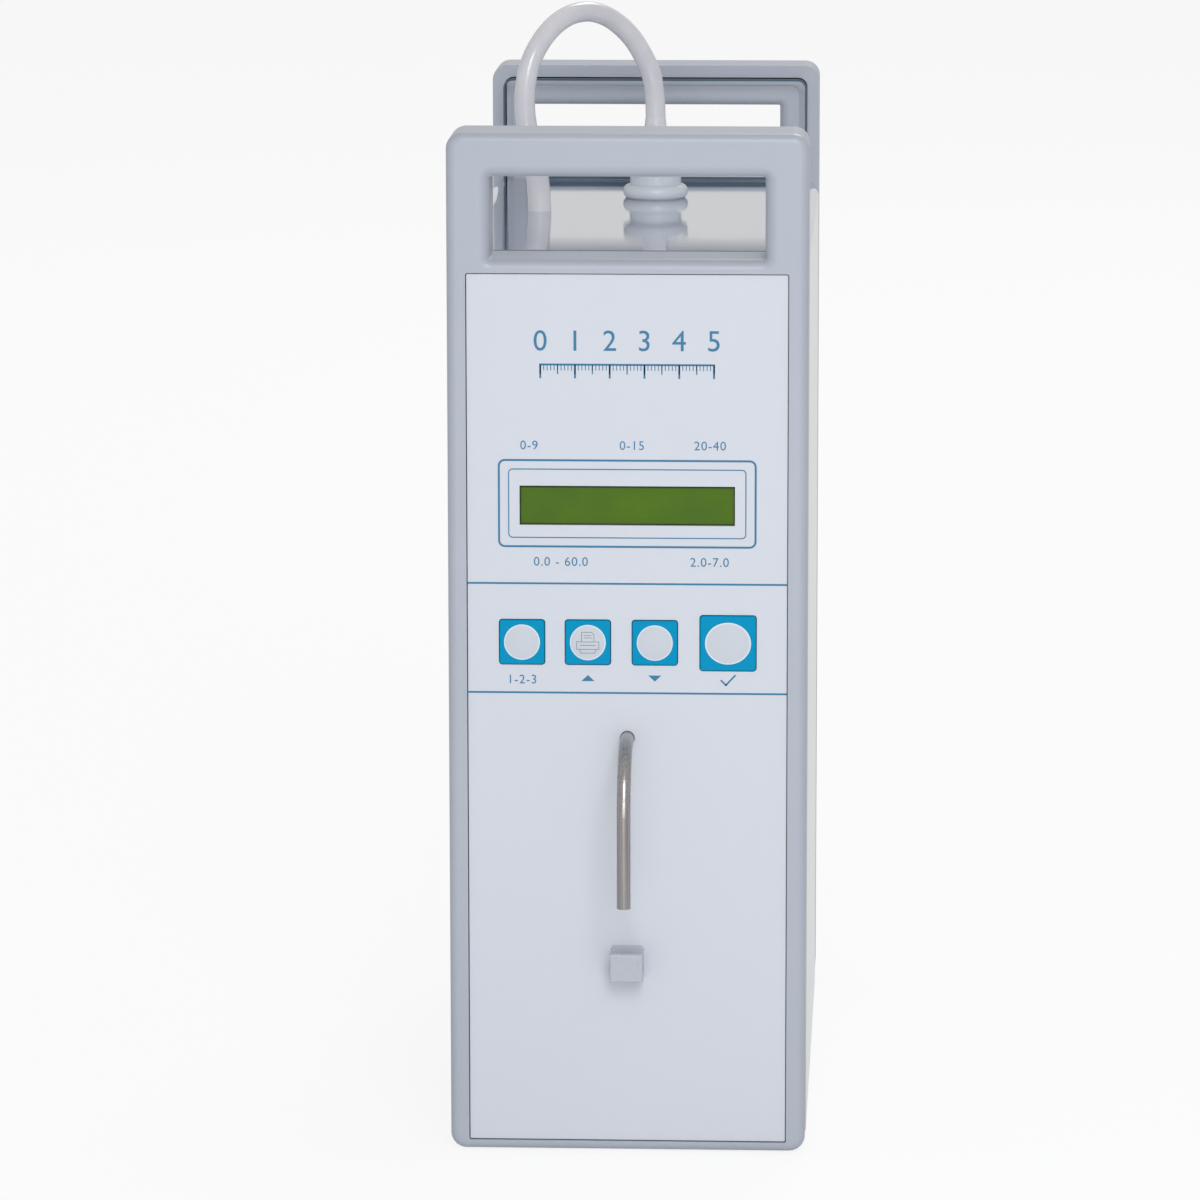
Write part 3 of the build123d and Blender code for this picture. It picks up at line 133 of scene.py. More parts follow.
# %% [markdown]
# Every finish starts from the same node shader, so one helper makes it, and small helpers add what real
# surfaces have: a slow change of colour, an uneven gloss, and a fine grain. All of them read Object
# coordinates, so a pattern keeps its real size on each part. A value that is the same all over a surface
# stays on the shader's own socket.

# %% Helpers for finishes
DRIFT_SCALE = 14.0
GLOSS_BELOW = 0.05
GLOSS_ABOVE = 0.07


def start_finish(name, color, roughness, metallic=0.0):
    """A material with its shader, whose constant values sit on the shader's own sockets."""
    material = bpy.data.materials.new(name)
    material.use_nodes = True
    shader = material.node_tree.nodes["Principled BSDF"]
    shader.inputs["Base Color"].default_value = (*color, 1.0)
    shader.inputs["Roughness"].default_value = roughness
    shader.inputs["Metallic"].default_value = metallic
    return material, shader


def object_place(material, stretch=(1.0, 1.0, 1.0), turn=0.0):
    """The piece's own coordinates, longer along an axis where the stretch is below 1, and turned about Z."""
    nodes = material.node_tree.nodes
    place = nodes.new("ShaderNodeTexCoord")
    mapping = nodes.new("ShaderNodeMapping")
    mapping.inputs["Scale"].default_value = stretch
    mapping.inputs["Rotation"].default_value = (0.0, 0.0, math.radians(turn))
    material.node_tree.links.new(place.outputs["Object"], mapping.inputs["Vector"])
    return mapping.outputs["Vector"]


def object_noise(material, scale, detail=3.0, stretch=(1.0, 1.0, 1.0)):
    """A noise in the piece's own space."""
    noise = material.node_tree.nodes.new("ShaderNodeTexNoise")
    noise.inputs["Scale"].default_value = scale
    noise.inputs["Detail"].default_value = detail
    material.node_tree.links.new(object_place(material, stretch), noise.inputs["Vector"])
    return noise.outputs["Fac"]


def blend_colors(material, factor, first, second, low=0.3, high=0.7):
    """A colour between two, as the factor goes from low to high."""
    ramp = material.node_tree.nodes.new("ShaderNodeValToRGB")
    ramp.color_ramp.elements[0].position = low
    ramp.color_ramp.elements[0].color = (*first, 1.0)
    ramp.color_ramp.elements[1].position = high
    ramp.color_ramp.elements[1].color = (*second, 1.0)
    material.node_tree.links.new(factor, ramp.inputs["Fac"])
    return ramp.outputs["Color"]


def vary_roughness(material, shader, factor, low, high):
    """Gloss that changes between two values over the surface."""
    spread = material.node_tree.nodes.new("ShaderNodeMapRange")
    spread.inputs["To Min"].default_value = low
    spread.inputs["To Max"].default_value = high
    material.node_tree.links.new(factor, spread.inputs["Value"])
    material.node_tree.links.new(spread.outputs["Result"], shader.inputs["Roughness"])


def add_bump(material, shader, factor, depth, strength=0.5):
    """A fine relief of the given depth in metres, on top of the relief that is already there."""
    bump = material.node_tree.nodes.new("ShaderNodeBump")
    bump.inputs["Distance"].default_value = depth
    bump.inputs["Strength"].default_value = strength
    links = material.node_tree.links
    if shader.inputs["Normal"].is_linked:
        links.new(shader.inputs["Normal"].links[0].from_socket, bump.inputs["Normal"])
    links.new(factor, bump.inputs["Height"])
    links.new(bump.outputs["Normal"], shader.inputs["Normal"])


def moulded_finish(name, color, shade_share, roughness, grain_scale=2600.0, grain_depth=0.02 * MM):
    """A moulded plastic: slow drift of colour, uneven gloss and fine grain."""
    material, shader = start_finish(name, color, roughness)
    darker = tuple(part * shade_share for part in color)
    drift = object_noise(material, DRIFT_SCALE)
    material.node_tree.links.new(blend_colors(material, drift, darker, color), shader.inputs["Base Color"])
    grain = object_noise(material, grain_scale, detail=2.0)
    vary_roughness(material, shader, grain, roughness - GLOSS_BELOW, roughness + GLOSS_ABOVE)
    add_bump(material, shader, grain, grain_depth)
    return material, shader


def dress(material, *nodes):
    """Give a finish to frame nodes."""
    for name in nodes:
        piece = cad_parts[name]
        piece.data.materials.clear()
        piece.data.materials.append(material)
    print(material.name, "on", len(nodes), "nodes")


# %% [markdown]
# Each end frame is two grey-blue mouldings with a satin spark-eroded texture. A flat grey would look like a
# drawing, so the colour drifts a little over some centimetres, and a grain finer than half a millimetre
# breaks up the gloss. The cup hook is moulded from a slightly clearer plastic of nearly the same shade.

# %% Frame plastic
FRAME_GREY = (0.385, 0.420, 0.485)
HOOK_GREY = (0.445, 0.472, 0.536)
HOOK_SCATTER = 3.0 * MM

frame_plastic, _ = moulded_finish("frame_plastic", FRAME_GREY, 0.95, 0.32)
dress(frame_plastic, "front_bezel", "rear_bezel", "front_liner", "rear_liner")
hook_plastic, shader = moulded_finish("hook_plastic", HOOK_GREY, 0.95, 0.26)
shader.inputs["Subsurface Weight"].default_value = 0.25
shader.inputs["Subsurface Radius"].default_value = (HOOK_SCATTER, HOOK_SCATTER, HOOK_SCATTER)
dress(hook_plastic, "cup_hook")

# %% [markdown]
# The cover is a sheet of mirror-polished steel. Its top mirrors the rear frame, the hose and the fitting,
# which is what makes it read as steel. A real sheet isn't flat glass: polishing lines run along it in fine
# bands and hatch the reflection of whatever stands close to it, and a faint long wave bends the rest. A wave
# texture runs through 20 radians over one unit of its scaled coordinate, so its scale follows from the pitch.

# %% Polished cover
COVER_SILVER = (0.670, 0.695, 0.750)
LINE_PITCH = 0.85 * MM
LINE_TURN = 24.0
LINE_DEPTH = 0.0035 * MM
WAVE_DEPTH = 0.12 * MM
WAVE_RADIANS = 20

cover_steel, shader = start_finish("cover_steel", COVER_SILVER, 0.05, 1.0)
streaks = object_noise(cover_steel, 900.0, detail=2.0, stretch=(1.0, 0.02, 1.0))
vary_roughness(cover_steel, shader, streaks, 0.02, 0.07)
waves = object_noise(cover_steel, 7.0, detail=0.0)
add_bump(cover_steel, shader, waves, WAVE_DEPTH, 0.3)
bands = cover_steel.node_tree.nodes.new("ShaderNodeTexWave")
bands.inputs["Scale"].default_value = 2 * math.pi / (WAVE_RADIANS * LINE_PITCH)
bands.inputs["Distortion"].default_value = 0.6
bands.inputs["Detail Scale"].default_value = 0.3
cover_steel.node_tree.links.new(object_place(cover_steel, turn=LINE_TURN), bands.inputs["Vector"])
add_bump(cover_steel, shader, bands.outputs["Fac"], LINE_DEPTH, 1.0)
dress(cover_steel, "casing_cover")

# %% [markdown]
# The front is a printed polyester film on a stiff plate: pale, slightly blue, with a silky surface. The
# film's colour is almost even, so only a very slow drift and a shallow grain are added.

# %% Front film
FILM_PALE = (0.560, 0.592, 0.655)
FILM_GRAIN_DEPTH = 0.01 * MM

front_film, _ = moulded_finish("front_film", FILM_PALE, 0.985, 0.40, 1800.0, FILM_GRAIN_DEPTH)
dress(front_film, "keypad_overlay", "front_plate")

# %% [markdown]
# The keys are blue with a pale dome in the middle. A light ring round the dome is a painted highlight on its
# rim.
# The colours could sit on separate faces, but the dome's edge is the only line that matters, so the distance
# from the key's middle, measured in domes, drives one colour ramp. The large key's dome is a little wider
# than it is tall.

# %% Keys
KEY_BLUE = (0.000, 0.255, 0.470)
KEY_BLUE_DEEP = (0.000, 0.180, 0.360)
DOME_PALE = (0.530, 0.565, 0.620)
RING_PAINTED_HIGHLIGHT = (0.640, 0.760, 0.830)
DOME_STOP = 0.70
RING_WIDTH = 0.025
RING_BLUR = 0.006
DOME_RADIUS = 5.2 * MM
OK_DOME_HALF_WIDTH = 6.65 * MM
OK_DOME_HALF_HEIGHT = 6.15 * MM


def key_finish(name, node, dome_half_width, dome_half_height):
    """A blue key with a pale oval middle, a painted highlight ring round it and a deeper blue line outside
    that.
    """
    low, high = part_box(node)
    middle = (low + high) / 2
    material, shader = start_finish(name, KEY_BLUE, 0.30)
    shader.inputs["Specular IOR Level"].default_value = 0.05
    nodes = material.node_tree.nodes
    links = material.node_tree.links
    place = nodes.new("ShaderNodeTexCoord")
    centred = nodes.new("ShaderNodeVectorMath")
    centred.operation = "SUBTRACT"
    centred.inputs[1].default_value = (middle.x, 0.0, middle.z)
    domes = nodes.new("ShaderNodeVectorMath")
    domes.operation = "MULTIPLY"
    domes.inputs[1].default_value = (DOME_STOP / dome_half_width, 0.0, DOME_STOP / dome_half_height)
    length = nodes.new("ShaderNodeVectorMath")
    length.operation = "LENGTH"
    ramp = nodes.new("ShaderNodeValToRGB")
    stops = ramp.color_ramp.elements
    stops[0].position = DOME_STOP - 2 * RING_WIDTH
    stops[0].color = (*DOME_PALE, 1.0)
    stops[1].position = DOME_STOP + 2 * RING_WIDTH
    stops[1].color = (*KEY_BLUE, 1.0)
    # The light stops paint a highlight round the dome's rim.
    for position, color in ((DOME_STOP - RING_WIDTH, RING_PAINTED_HIGHLIGHT), (DOME_STOP - RING_BLUR, RING_PAINTED_HIGHLIGHT),
                            (DOME_STOP + RING_BLUR, KEY_BLUE_DEEP), (DOME_STOP + RING_WIDTH, KEY_BLUE)):
        stop = stops.new(position)
        stop.color = (*color, 1.0)
    links.new(place.outputs["Object"], centred.inputs[0])
    links.new(centred.outputs["Vector"], domes.inputs[0])
    links.new(domes.outputs["Vector"], length.inputs[0])
    links.new(length.outputs["Value"], ramp.inputs["Fac"])
    links.new(ramp.outputs["Color"], shader.inputs["Base Color"])
    grain = object_noise(material, 2400.0, detail=2.0)
    vary_roughness(material, shader, grain, 0.28, 0.40)
    dress(material, node)


for node in ("mode_key", "up_key", "down_key"):
    key_finish(node + "_finish", node, DOME_RADIUS, DOME_RADIUS)
key_finish("ok_key_finish", "ok_key", OK_DOME_HALF_WIDTH, OK_DOME_HALF_HEIGHT)

# %% [markdown]
# The display is a green cell behind a clear window, set back behind the film. Its edge lies in the film's
# shade, and that shade is painted into the cell's colour: a dark band all round, with a wider painted shadow
# along the top. The distance from each edge darkens the colour.

# %% Display
CELL_GREEN = (0.072, 0.150, 0.008)
CELL_GREEN_DULL = (0.060, 0.130, 0.013)
# The dark edge colour is painted shade from the recess, and the wider band along the top is painted shadow.
CELL_PAINTED_SHADE = (0.010, 0.022, 0.008)
LENS_FLANGE = 2.0 * MM
SIDE_PAINTED_SHADE = 0.45 * MM
TOP_PAINTED_SHADOW = 0.75 * MM
FADE_START_SHARE = 0.3
FADE_END_SHARE = 1.3

lens_green, shader = start_finish("lens_green", CELL_GREEN, 0.22)
shader.inputs["Specular IOR Level"].default_value = 0.08
nodes = lens_green.node_tree.nodes
links = lens_green.node_tree.links
mottle = blend_colors(lens_green, object_noise(lens_green, 90.0, detail=4.0), CELL_GREEN_DULL, CELL_GREEN)
place = nodes.new("ShaderNodeTexCoord")
axes = nodes.new("ShaderNodeSeparateXYZ")
links.new(place.outputs["Object"], axes.inputs["Vector"])
lens_low, lens_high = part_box("display_lens")
edges = (("X", lens_low.x + LENS_FLANGE, SIDE_PAINTED_SHADE), ("X", lens_high.x - LENS_FLANGE, -SIDE_PAINTED_SHADE),
         ("Z", lens_low.z + LENS_FLANGE, SIDE_PAINTED_SHADE), ("Z", lens_high.z - LENS_FLANGE, -TOP_PAINTED_SHADOW))
lit = None
for axis, edge, shade_reach in edges:
    fade = nodes.new("ShaderNodeMapRange")
    fade.interpolation_type = "SMOOTHSTEP"
    fade.inputs["From Min"].default_value = edge + shade_reach * FADE_START_SHARE
    fade.inputs["From Max"].default_value = edge + shade_reach * FADE_END_SHARE
    links.new(axes.outputs[axis], fade.inputs["Value"])
    if lit is None:
        lit = fade.outputs["Result"]
    else:
        product = nodes.new("ShaderNodeMath")
        product.operation = "MULTIPLY"
        links.new(lit, product.inputs[0])
        links.new(fade.outputs["Result"], product.inputs[1])
        lit = product.outputs["Value"]
# Painted shade: the dark edge colour is mixed in towards the cell's edges.
painted_shade_mix = nodes.new("ShaderNodeMix")
painted_shade_mix.data_type = "RGBA"
painted_shade_mix.inputs["A"].default_value = (*CELL_PAINTED_SHADE, 1.0)
links.new(lit, painted_shade_mix.inputs["Factor"])
links.new(mottle, painted_shade_mix.inputs["B"])
links.new(painted_shade_mix.outputs["Result"], shader.inputs["Base Color"])
smear = object_noise(lens_green, 700.0)
vary_roughness(lens_green, shader, smear, 0.16, 0.30)
dress(lens_green, "display_lens", "lcd_glass")

# %% [markdown]
# The sampling tube is drawn stainless steel with a satin finish. Drawing leaves fine lines along the tube,
# so the noise that varies its gloss is stretched along Z, and a faint darker film sits in the lines.

# %% Steel tube
TUBE_PLAIN = (0.42, 0.405, 0.395)
TUBE_DARK = (0.31, 0.30, 0.295)
TUBE_LIGHT = (0.41, 0.40, 0.39)
DRAWN_DEPTH = 0.01 * MM

tube_steel, shader = start_finish("tube_steel", TUBE_PLAIN, 0.24, 1.0)
drawn = object_noise(tube_steel, 1700.0, detail=3.0, stretch=(1.0, 1.0, 0.02))
vary_roughness(tube_steel, shader, drawn, 0.16, 0.36)
tube_steel.node_tree.links.new(blend_colors(tube_steel, drawn, TUBE_DARK, TUBE_LIGHT),
                               shader.inputs["Base Color"])
add_bump(tube_steel, shader, drawn, DRAWN_DEPTH, 0.15)
dress(tube_steel, "sample_tube")

# %% [markdown]
# The fitting is a cool white plastic that lets a little light in, and the hose and its sleeve are milky
# silicone. Subsurface scattering gives both their depth. The silicone is softer and glossier, with a cloudy
# drift, because its wall is never quite even.

# %% White plastic and silicone
FITTING_WHITE = (0.60, 0.645, 0.70)
FITTING_GRAIN_DEPTH = 0.01 * MM
FITTING_SCATTER = 4.0 * MM
MILKY = (0.62, 0.62, 0.665)
MILKY_DULL = (0.575, 0.575, 0.625)
MILKY_BRIGHT = (0.665, 0.665, 0.70)
SILICONE_SCATTER = 3.0 * MM

white_plastic, shader = moulded_finish("white_plastic", FITTING_WHITE, 0.95, 0.24, 2200.0,
                                       FITTING_GRAIN_DEPTH)
shader.inputs["Subsurface Weight"].default_value = 0.15
shader.inputs["Subsurface Radius"].default_value = (FITTING_SCATTER, FITTING_SCATTER, FITTING_SCATTER)
dress(white_plastic, "hose_fitting", "fitting_nut", "return_port", "tube_bushing", "pump_housing",
      "pump_roller_1", "pump_roller_2", "pump_roller_3")

silicone, shader = start_finish("silicone", MILKY, 0.20)
shader.inputs["Subsurface Weight"].default_value = 0.30
shader.inputs["Subsurface Radius"].default_value = (SILICONE_SCATTER, SILICONE_SCATTER, SILICONE_SCATTER)
shader.inputs["Coat Weight"].default_value = 0.35
shader.inputs["Coat Roughness"].default_value = 0.08
cloud = object_noise(silicone, 60.0)
silicone.node_tree.links.new(blend_colors(silicone, cloud, MILKY_DULL, MILKY_BRIGHT),
                             shader.inputs["Base Color"])
vary_roughness(silicone, shader, object_noise(silicone, 300.0), 0.15, 0.28)
dress(silicone, "hose_cuff", "pump_tube", "inner_tubes")
hose.data.materials.append(silicone)

# %% [markdown]
# The rear has the plain things of a bench instrument: a painted panel, black connectors with a spark-eroded
# face, and plated metal. Each group gets one finish, so that parts of the same stuff match.

# %% Rear panel and connectors
rear_paint, _ = moulded_finish("rear_paint", (0.60, 0.63, 0.70), 0.97, 0.45, 1600.0, 0.03 * MM)
dress(rear_paint, "rear_plate")
black_plastic, _ = moulded_finish("black_plastic", (0.022, 0.022, 0.024), 0.8, 0.36, 1900.0, 0.03 * MM)
dress(black_plastic, "mains_inlet", "power_switch", "power_rocker", "fuse_holder", "fuse_cap", "dc_socket",
      "key_switches", "board_parts", "pump_rotor")
plated_steel, shader = start_finish("plated_steel", (0.66, 0.66, 0.65), 0.25, 1.0)
vary_roughness(plated_steel, shader, object_noise(plated_steel, 700.0, detail=2.0), 0.18, 0.36)
dress(plated_steel, "serial_port", "lcd_can", "board_posts", "inner_screws", "rear_screws", "serial_posts",
      "hook_nut", "inlet_pins", "motor_shaft", "fuse_link")

# %% [markdown]
# What is left lies inside or below: zinc-plated sheet, rubber pads, circuit boards, cast metal, the pump's
# clear lid and the tape of the transformer. Little of it is seen, but the vents and an opened case show it,
# so each has its own finish too.

# %% Inner parts and base
sheet_zinc, shader = start_finish("sheet_zinc", (0.55, 0.57, 0.58), 0.4, 1.0)
vary_roughness(sheet_zinc, shader, object_noise(sheet_zinc, 180.0), 0.30, 0.55)
dress(sheet_zinc, "base_tray", "inner_frame")
pad_rubber, _ = moulded_finish("pad_rubber", (0.025, 0.025, 0.026), 0.8, 0.7, 900.0, 0.06 * MM)
dress(pad_rubber, "foot_pads")
solder_mask, _ = moulded_finish("solder_mask", (0.012, 0.110, 0.040), 0.8, 0.3, 400.0, 0.02 * MM)
dress(solder_mask, "lcd_board", "key_board", "main_board")
cast_metal, shader = start_finish("cast_metal", (0.45, 0.46, 0.47), 0.4, 1.0)
vary_roughness(cast_metal, shader, object_noise(cast_metal, 500.0), 0.3, 0.5)
dress(cast_metal, "pump_motor", "transformer_core", "sensor_cell", "transducers")
lid_clear, shader = start_finish("lid_clear", (0.80, 0.86, 0.90), 0.08)
shader.inputs["Transmission Weight"].default_value = 0.8
vary_roughness(lid_clear, shader, object_noise(lid_clear, 80.0), 0.05, 0.14)
dress(lid_clear, "pump_lid")
winding_tape, _ = moulded_finish("winding_tape", (0.65, 0.42, 0.05), 0.85, 0.4, 700.0, 0.05 * MM)
dress(winding_tape, "transformer_winding")

# %% [markdown]
# The print on the film is ink with a real, tiny thickness. It could be a colour in the film's material, but
# shapes keep sharp edges at any distance. Each shape starts as a flat rectangle that faces the front, its
# turn and size go into its mesh, and a wall of a few hundredths of a millimetre makes it a closed body.

# %% Helpers for print
INK_DEPTH = 0.04 * MM
FILM_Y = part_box("keypad_overlay")[0].y
FACING = {"front": 0.0, "rear": math.pi}

print_blue, _ = moulded_finish("print_blue", (0.016, 0.160, 0.315), 0.93, 0.42, 3000.0, 0.0)


def settle(piece, name):
    """Put the piece's place, turn and size into its mesh, so that the object sits at the origin."""
    piece.name = name
    bpy.ops.object.transform_apply(location=True, rotation=True, scale=True)
    return piece


def add_plane(name, place, size, roll=0.0, facing="front"):
    """A flat rectangle, turned in its own plane by an angle."""
    bpy.ops.object.select_all(action="DESELECT")
    bpy.ops.mesh.primitive_plane_add(size=1.0, location=place, rotation=(math.pi / 2, roll, FACING[facing]))
    piece = bpy.context.object
    piece.scale = (size[0], size[1], 1.0)
    return settle(piece, name)


def add_block(name, middle, size):
    """A box along the axes."""
    bpy.ops.object.select_all(action="DESELECT")
    bpy.ops.mesh.primitive_cube_add(size=1.0, location=middle)
    piece = bpy.context.object
    piece.scale = size
    return settle(piece, name)


def apply_modifier(piece, kind, **settings):
    """Add a modifier, set it up and apply it."""
    modifier = piece.modifiers.new("shaping", kind)
    for setting, value in settings.items():
        setattr(modifier, setting, value)
    bpy.context.view_layer.objects.active = piece
    bpy.ops.object.modifier_apply(modifier=modifier.name)


def join_pieces(pieces, name):
    """Make one piece of several."""
    bpy.ops.object.select_all(action="DESELECT")
    for piece in pieces:
        piece.select_set(True)
    bpy.context.view_layer.objects.active = pieces[0]
    bpy.ops.object.join()
    pieces[0].name = name
    return pieces[0]


def finish_piece(piece, material, body):
    """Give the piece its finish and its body."""
    piece.data.materials.clear()
    piece.data.materials.append(material)
    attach(piece, body)
    print(piece.name, "faces", len(piece.data.polygons))


def print_on_film(piece):
    """Give flat ink its thickness on the front film."""
    apply_modifier(piece, "SOLIDIFY", thickness=INK_DEPTH, offset=1.0)
    finish_piece(piece, print_blue, "casing")


# %% [markdown]
# Two rounded outlines frame the display, a strong one outside and a thin one inside. Each is a plane whose
# corners are bevelled, then inset by the line's width, and its middle face is deleted. Two lines cross the
# whole panel above and below the keys.

# %% Outlines and dividing lines
OUTER_HALF = 37.35 * MM
OUTER_LOW = 180.05 * MM
OUTER_HIGH = 205.85 * MM
OUTER_CORNER = 2.0 * MM
OUTER_LINE = 0.6 * MM
INNER_HALF = 34.4 * MM
INNER_LOW = 182.8 * MM
INNER_HIGH = 203.1 * MM
INNER_CORNER = 1.3 * MM
INNER_LINE = 0.32 * MM
DIVIDER_HEIGHTS = (169.5 * MM, 137.35 * MM)
DIVIDER_WIDTH = 0.55 * MM
CORNER_STEPS = 6


def keep_outline(width):
    """In edit mode, leave of a flat face only a line of one width along its edge."""
    bpy.ops.mesh.select_all(action="SELECT")
    bpy.ops.mesh.inset(thickness=width, depth=0.0)
    bpy.ops.mesh.delete(type="FACE")


def rounded_outline(name, y, half_width, low, high, corner, width):
    """A flat rounded rectangle drawn with a line of one width."""
    piece = add_plane(name, (0.0, y, (low + high) / 2), (2 * half_width, high - low))
    bpy.ops.object.mode_set(mode="EDIT")
    bpy.ops.mesh.select_all(action="SELECT")
    bpy.ops.mesh.bevel(offset=corner, segments=CORNER_STEPS, affect="VERTICES")
    keep_outline(width)
    bpy.ops.object.mode_set(mode="OBJECT")
    return piece


print_on_film(rounded_outline("display_outline", FILM_Y, OUTER_HALF, OUTER_LOW, OUTER_HIGH,
                              OUTER_CORNER, OUTER_LINE))
print_on_film(rounded_outline("display_inner_outline", FILM_Y, INNER_HALF, INNER_LOW, INNER_HIGH,
                              INNER_CORNER, INNER_LINE))
film_low, film_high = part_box("keypad_overlay")
for number, height in enumerate(DIVIDER_HEIGHTS):
    print_on_film(add_plane("divider_" + str(number + 1), (0.0, FILM_Y, height),
                            (film_high.x - film_low.x, DIVIDER_WIDTH)))

# %% [markdown]
# The upper part of the panel carries a plain graduated scale: a rule, ticks of three lengths and the
# numbers from 0 to 5. One tick of each length is modelled and an array repeats it. Plain number ranges
# stand at the five places round the display, and 1-2-3 stands below the first key.

# %% Scale and numbers
SCALE_Z = 233.4 * MM
SCALE_HALF = 25.0 * MM
RULE_WIDTH = 0.55 * MM
NUMBER_Z = 240.0 * MM
NUMBER_HEIGHT = 6.0 * MM
NUMBER_PITCH = 10.0 * MM
NUMBER_COUNT = 6
FIGURE_SHARE = 0.70
FIGURE_SPACING = 1.1
FIGURE_STEPS = 4
WELD_REACH = 0.002 * MM
LABEL_HEIGHT = 2.6 * MM
UPPER_Z = 209.8 * MM
LOWER_Z = 175.8 * MM
MODE_Z = 141.1 * MM
TICKS = (("fine", 1.0 * MM, 1.7 * MM, 0.25 * MM), ("middle", 5.0 * MM, 2.8 * MM, 0.35 * MM),
         ("long", NUMBER_PITCH, 4.0 * MM, 0.55 * MM))
LABELS = (("range_1", "0-9", -28.3 * MM, UPPER_Z), ("range_2", "0-15", 1.4 * MM, UPPER_Z),
          ("range_3", "20-40", 23.9 * MM, UPPER_Z), ("range_4", "0.0 - 60.0", -19.2 * MM, LOWER_Z),
          ("range_5", "2.0-7.0", 23.8 * MM, LOWER_Z), ("mode_numbers", "1-2-3", -30.5 * MM, MODE_Z))


def add_figures(name, figures, place, height, facing="front"):
    """Plain figures as a thin mesh."""
    bpy.ops.object.select_all(action="DESELECT")
    way = 1.0 if facing == "rear" else -1.0
    middle = (place[0], place[1] + way * INK_DEPTH / 2, place[2])
    bpy.ops.object.text_add(location=middle, rotation=(math.pi / 2, 0.0, FACING[facing]))
    piece = bpy.context.object
    piece.data.body = figures
    piece.data.size = height / FIGURE_SHARE
    piece.data.align_x = "CENTER"
    piece.data.align_y = "CENTER"
    piece.data.space_character = FIGURE_SPACING
    piece.data.resolution_u = FIGURE_STEPS
    piece.data.extrude = INK_DEPTH / 2
    bpy.ops.object.convert(target="MESH")
    piece = bpy.context.object
    settle(piece, name)
    bpy.ops.object.mode_set(mode="EDIT")
    bpy.ops.mesh.select_all(action="SELECT")
    bpy.ops.mesh.remove_doubles(threshold=WELD_REACH)
    bpy.ops.object.mode_set(mode="OBJECT")
    return piece


print_on_film(add_plane("scale_rule", (0.0, FILM_Y, SCALE_Z), (2 * SCALE_HALF + RULE_WIDTH, RULE_WIDTH)))
for name, pitch, length, width in TICKS:
    tick = add_plane("scale_ticks_" + name, (-SCALE_HALF, FILM_Y, SCALE_Z - length / 2), (width, length))
    apply_modifier(tick, "ARRAY", count=round(2 * SCALE_HALF / pitch) + 1, use_relative_offset=False,
                   use_constant_offset=True, constant_offset_displace=(pitch, 0.0, 0.0))
    print_on_film(tick)
for number in range(NUMBER_COUNT):
    place = (-SCALE_HALF + number * NUMBER_PITCH, FILM_Y, NUMBER_Z)
    finish_piece(add_figures("scale_number_" + str(number), str(number), place, NUMBER_HEIGHT),
                 print_blue, "casing")
for name, figures, x, z in LABELS:
    finish_piece(add_figures(name, figures, (x, FILM_Y, z), LABEL_HEIGHT), print_blue, "casing")

# %% [markdown]
# Small arrowheads below the two middle keys show which way a value steps. A plane becomes an arrowhead when
# two of its corners are merged. Below the large key stands a tick mark, drawn with two short strokes.

# %% Marks below the keys
MARK_Z = 141.7 * MM
ARROW_WIDTH = 3.8 * MM
ARROW_HEIGHT = 1.8 * MM
STROKE_WIDTH = 0.5 * MM
CHECK_STROKES = ((-1.9, -0.5, -0.6, -1.8), (-0.6, -1.8, 2.0, 1.0))


def arrowhead(name, x, way):
    """A triangle that points up or down."""
    piece = add_plane(name, (x, FILM_Y, MARK_Z), (ARROW_WIDTH, ARROW_HEIGHT))
    for vertex in piece.data.vertices:
        vertex.select = way * (vertex.co.z - MARK_Z) > 0
    for part in (*piece.data.edges, *piece.data.polygons):
        part.select = False
    bpy.ops.object.mode_set(mode="EDIT")
    bpy.ops.mesh.merge(type="CENTER")
    bpy.ops.object.mode_set(mode="OBJECT")
    print_on_film(piece)


def stroke(start_x, start_z, end_x, end_z, y, width):
    """A straight line of ink between two places, in metres."""
    run = Vector((end_x - start_x, 0.0, end_z - start_z))
    middle = ((start_x + end_x) / 2, y, (start_z + end_z) / 2)
    return add_plane("stroke", middle, (run.length + width, width), roll=math.atan2(-run.z, run.x))


def draw(name, x, y, z, rows, width):
    """One piece of several strokes, whose ends are given in millimetres from its middle."""
    strokes = [stroke(x + x_1 * MM, z + z_1 * MM, x + x_2 * MM, z + z_2 * MM, y, width)
               for x_1, z_1, x_2, z_2 in rows]
    return join_pieces(strokes, name)


def node_middle(node):
    """The middle of a frame node's box."""
    low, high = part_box(node)
    return (low + high) / 2


arrowhead("up_arrow", node_middle("up_key").x, 1)
arrowhead("down_arrow", node_middle("down_key").x, -1)
print_on_film(draw("tick_mark", node_middle("ok_key").x, FILM_Y, MARK_Z, CHECK_STROKES, STROKE_WIDTH))

# %% [markdown]
# The second key also prints, so its dome carries a small line drawing of a printer. The strokes are drawn
# flat in front of the dome and cut into short steps. A shrinkwrap then pushes them onto the curved dome,
# and they ride with the key.

# %% Printer drawing on the key
ICON_WIDTH = 0.17 * MM
ICON_STEPS = 4
ICON_STROKES = (
    (-3.2, -1.9, 3.2, -1.9), (3.2, -1.9, 3.2, 0.3), (3.2, 0.3, -3.2, 0.3), (-3.2, 0.3, -3.2, -1.9),
    (-1.8, 0.3, -1.8, 3.1), (-1.8, 3.1, 1.1, 3.1), (1.1, 3.1, 1.8, 2.4), (1.8, 2.4, 1.8, 0.3),
    (-1.1, 2.2, 0.9, 2.2), (-1.1, 1.5, 1.1, 1.5), (-2.2, -0.7, 2.2, -0.7),
    (-2.4, -1.9, -2.0, -3.0), (-2.0, -3.0, 2.0, -3.0), (2.0, -3.0, 2.4, -1.9),
)

icon_grey, _ = moulded_finish("icon_grey", (0.150, 0.185, 0.240), 0.95, 0.45, 3000.0, 0.0)


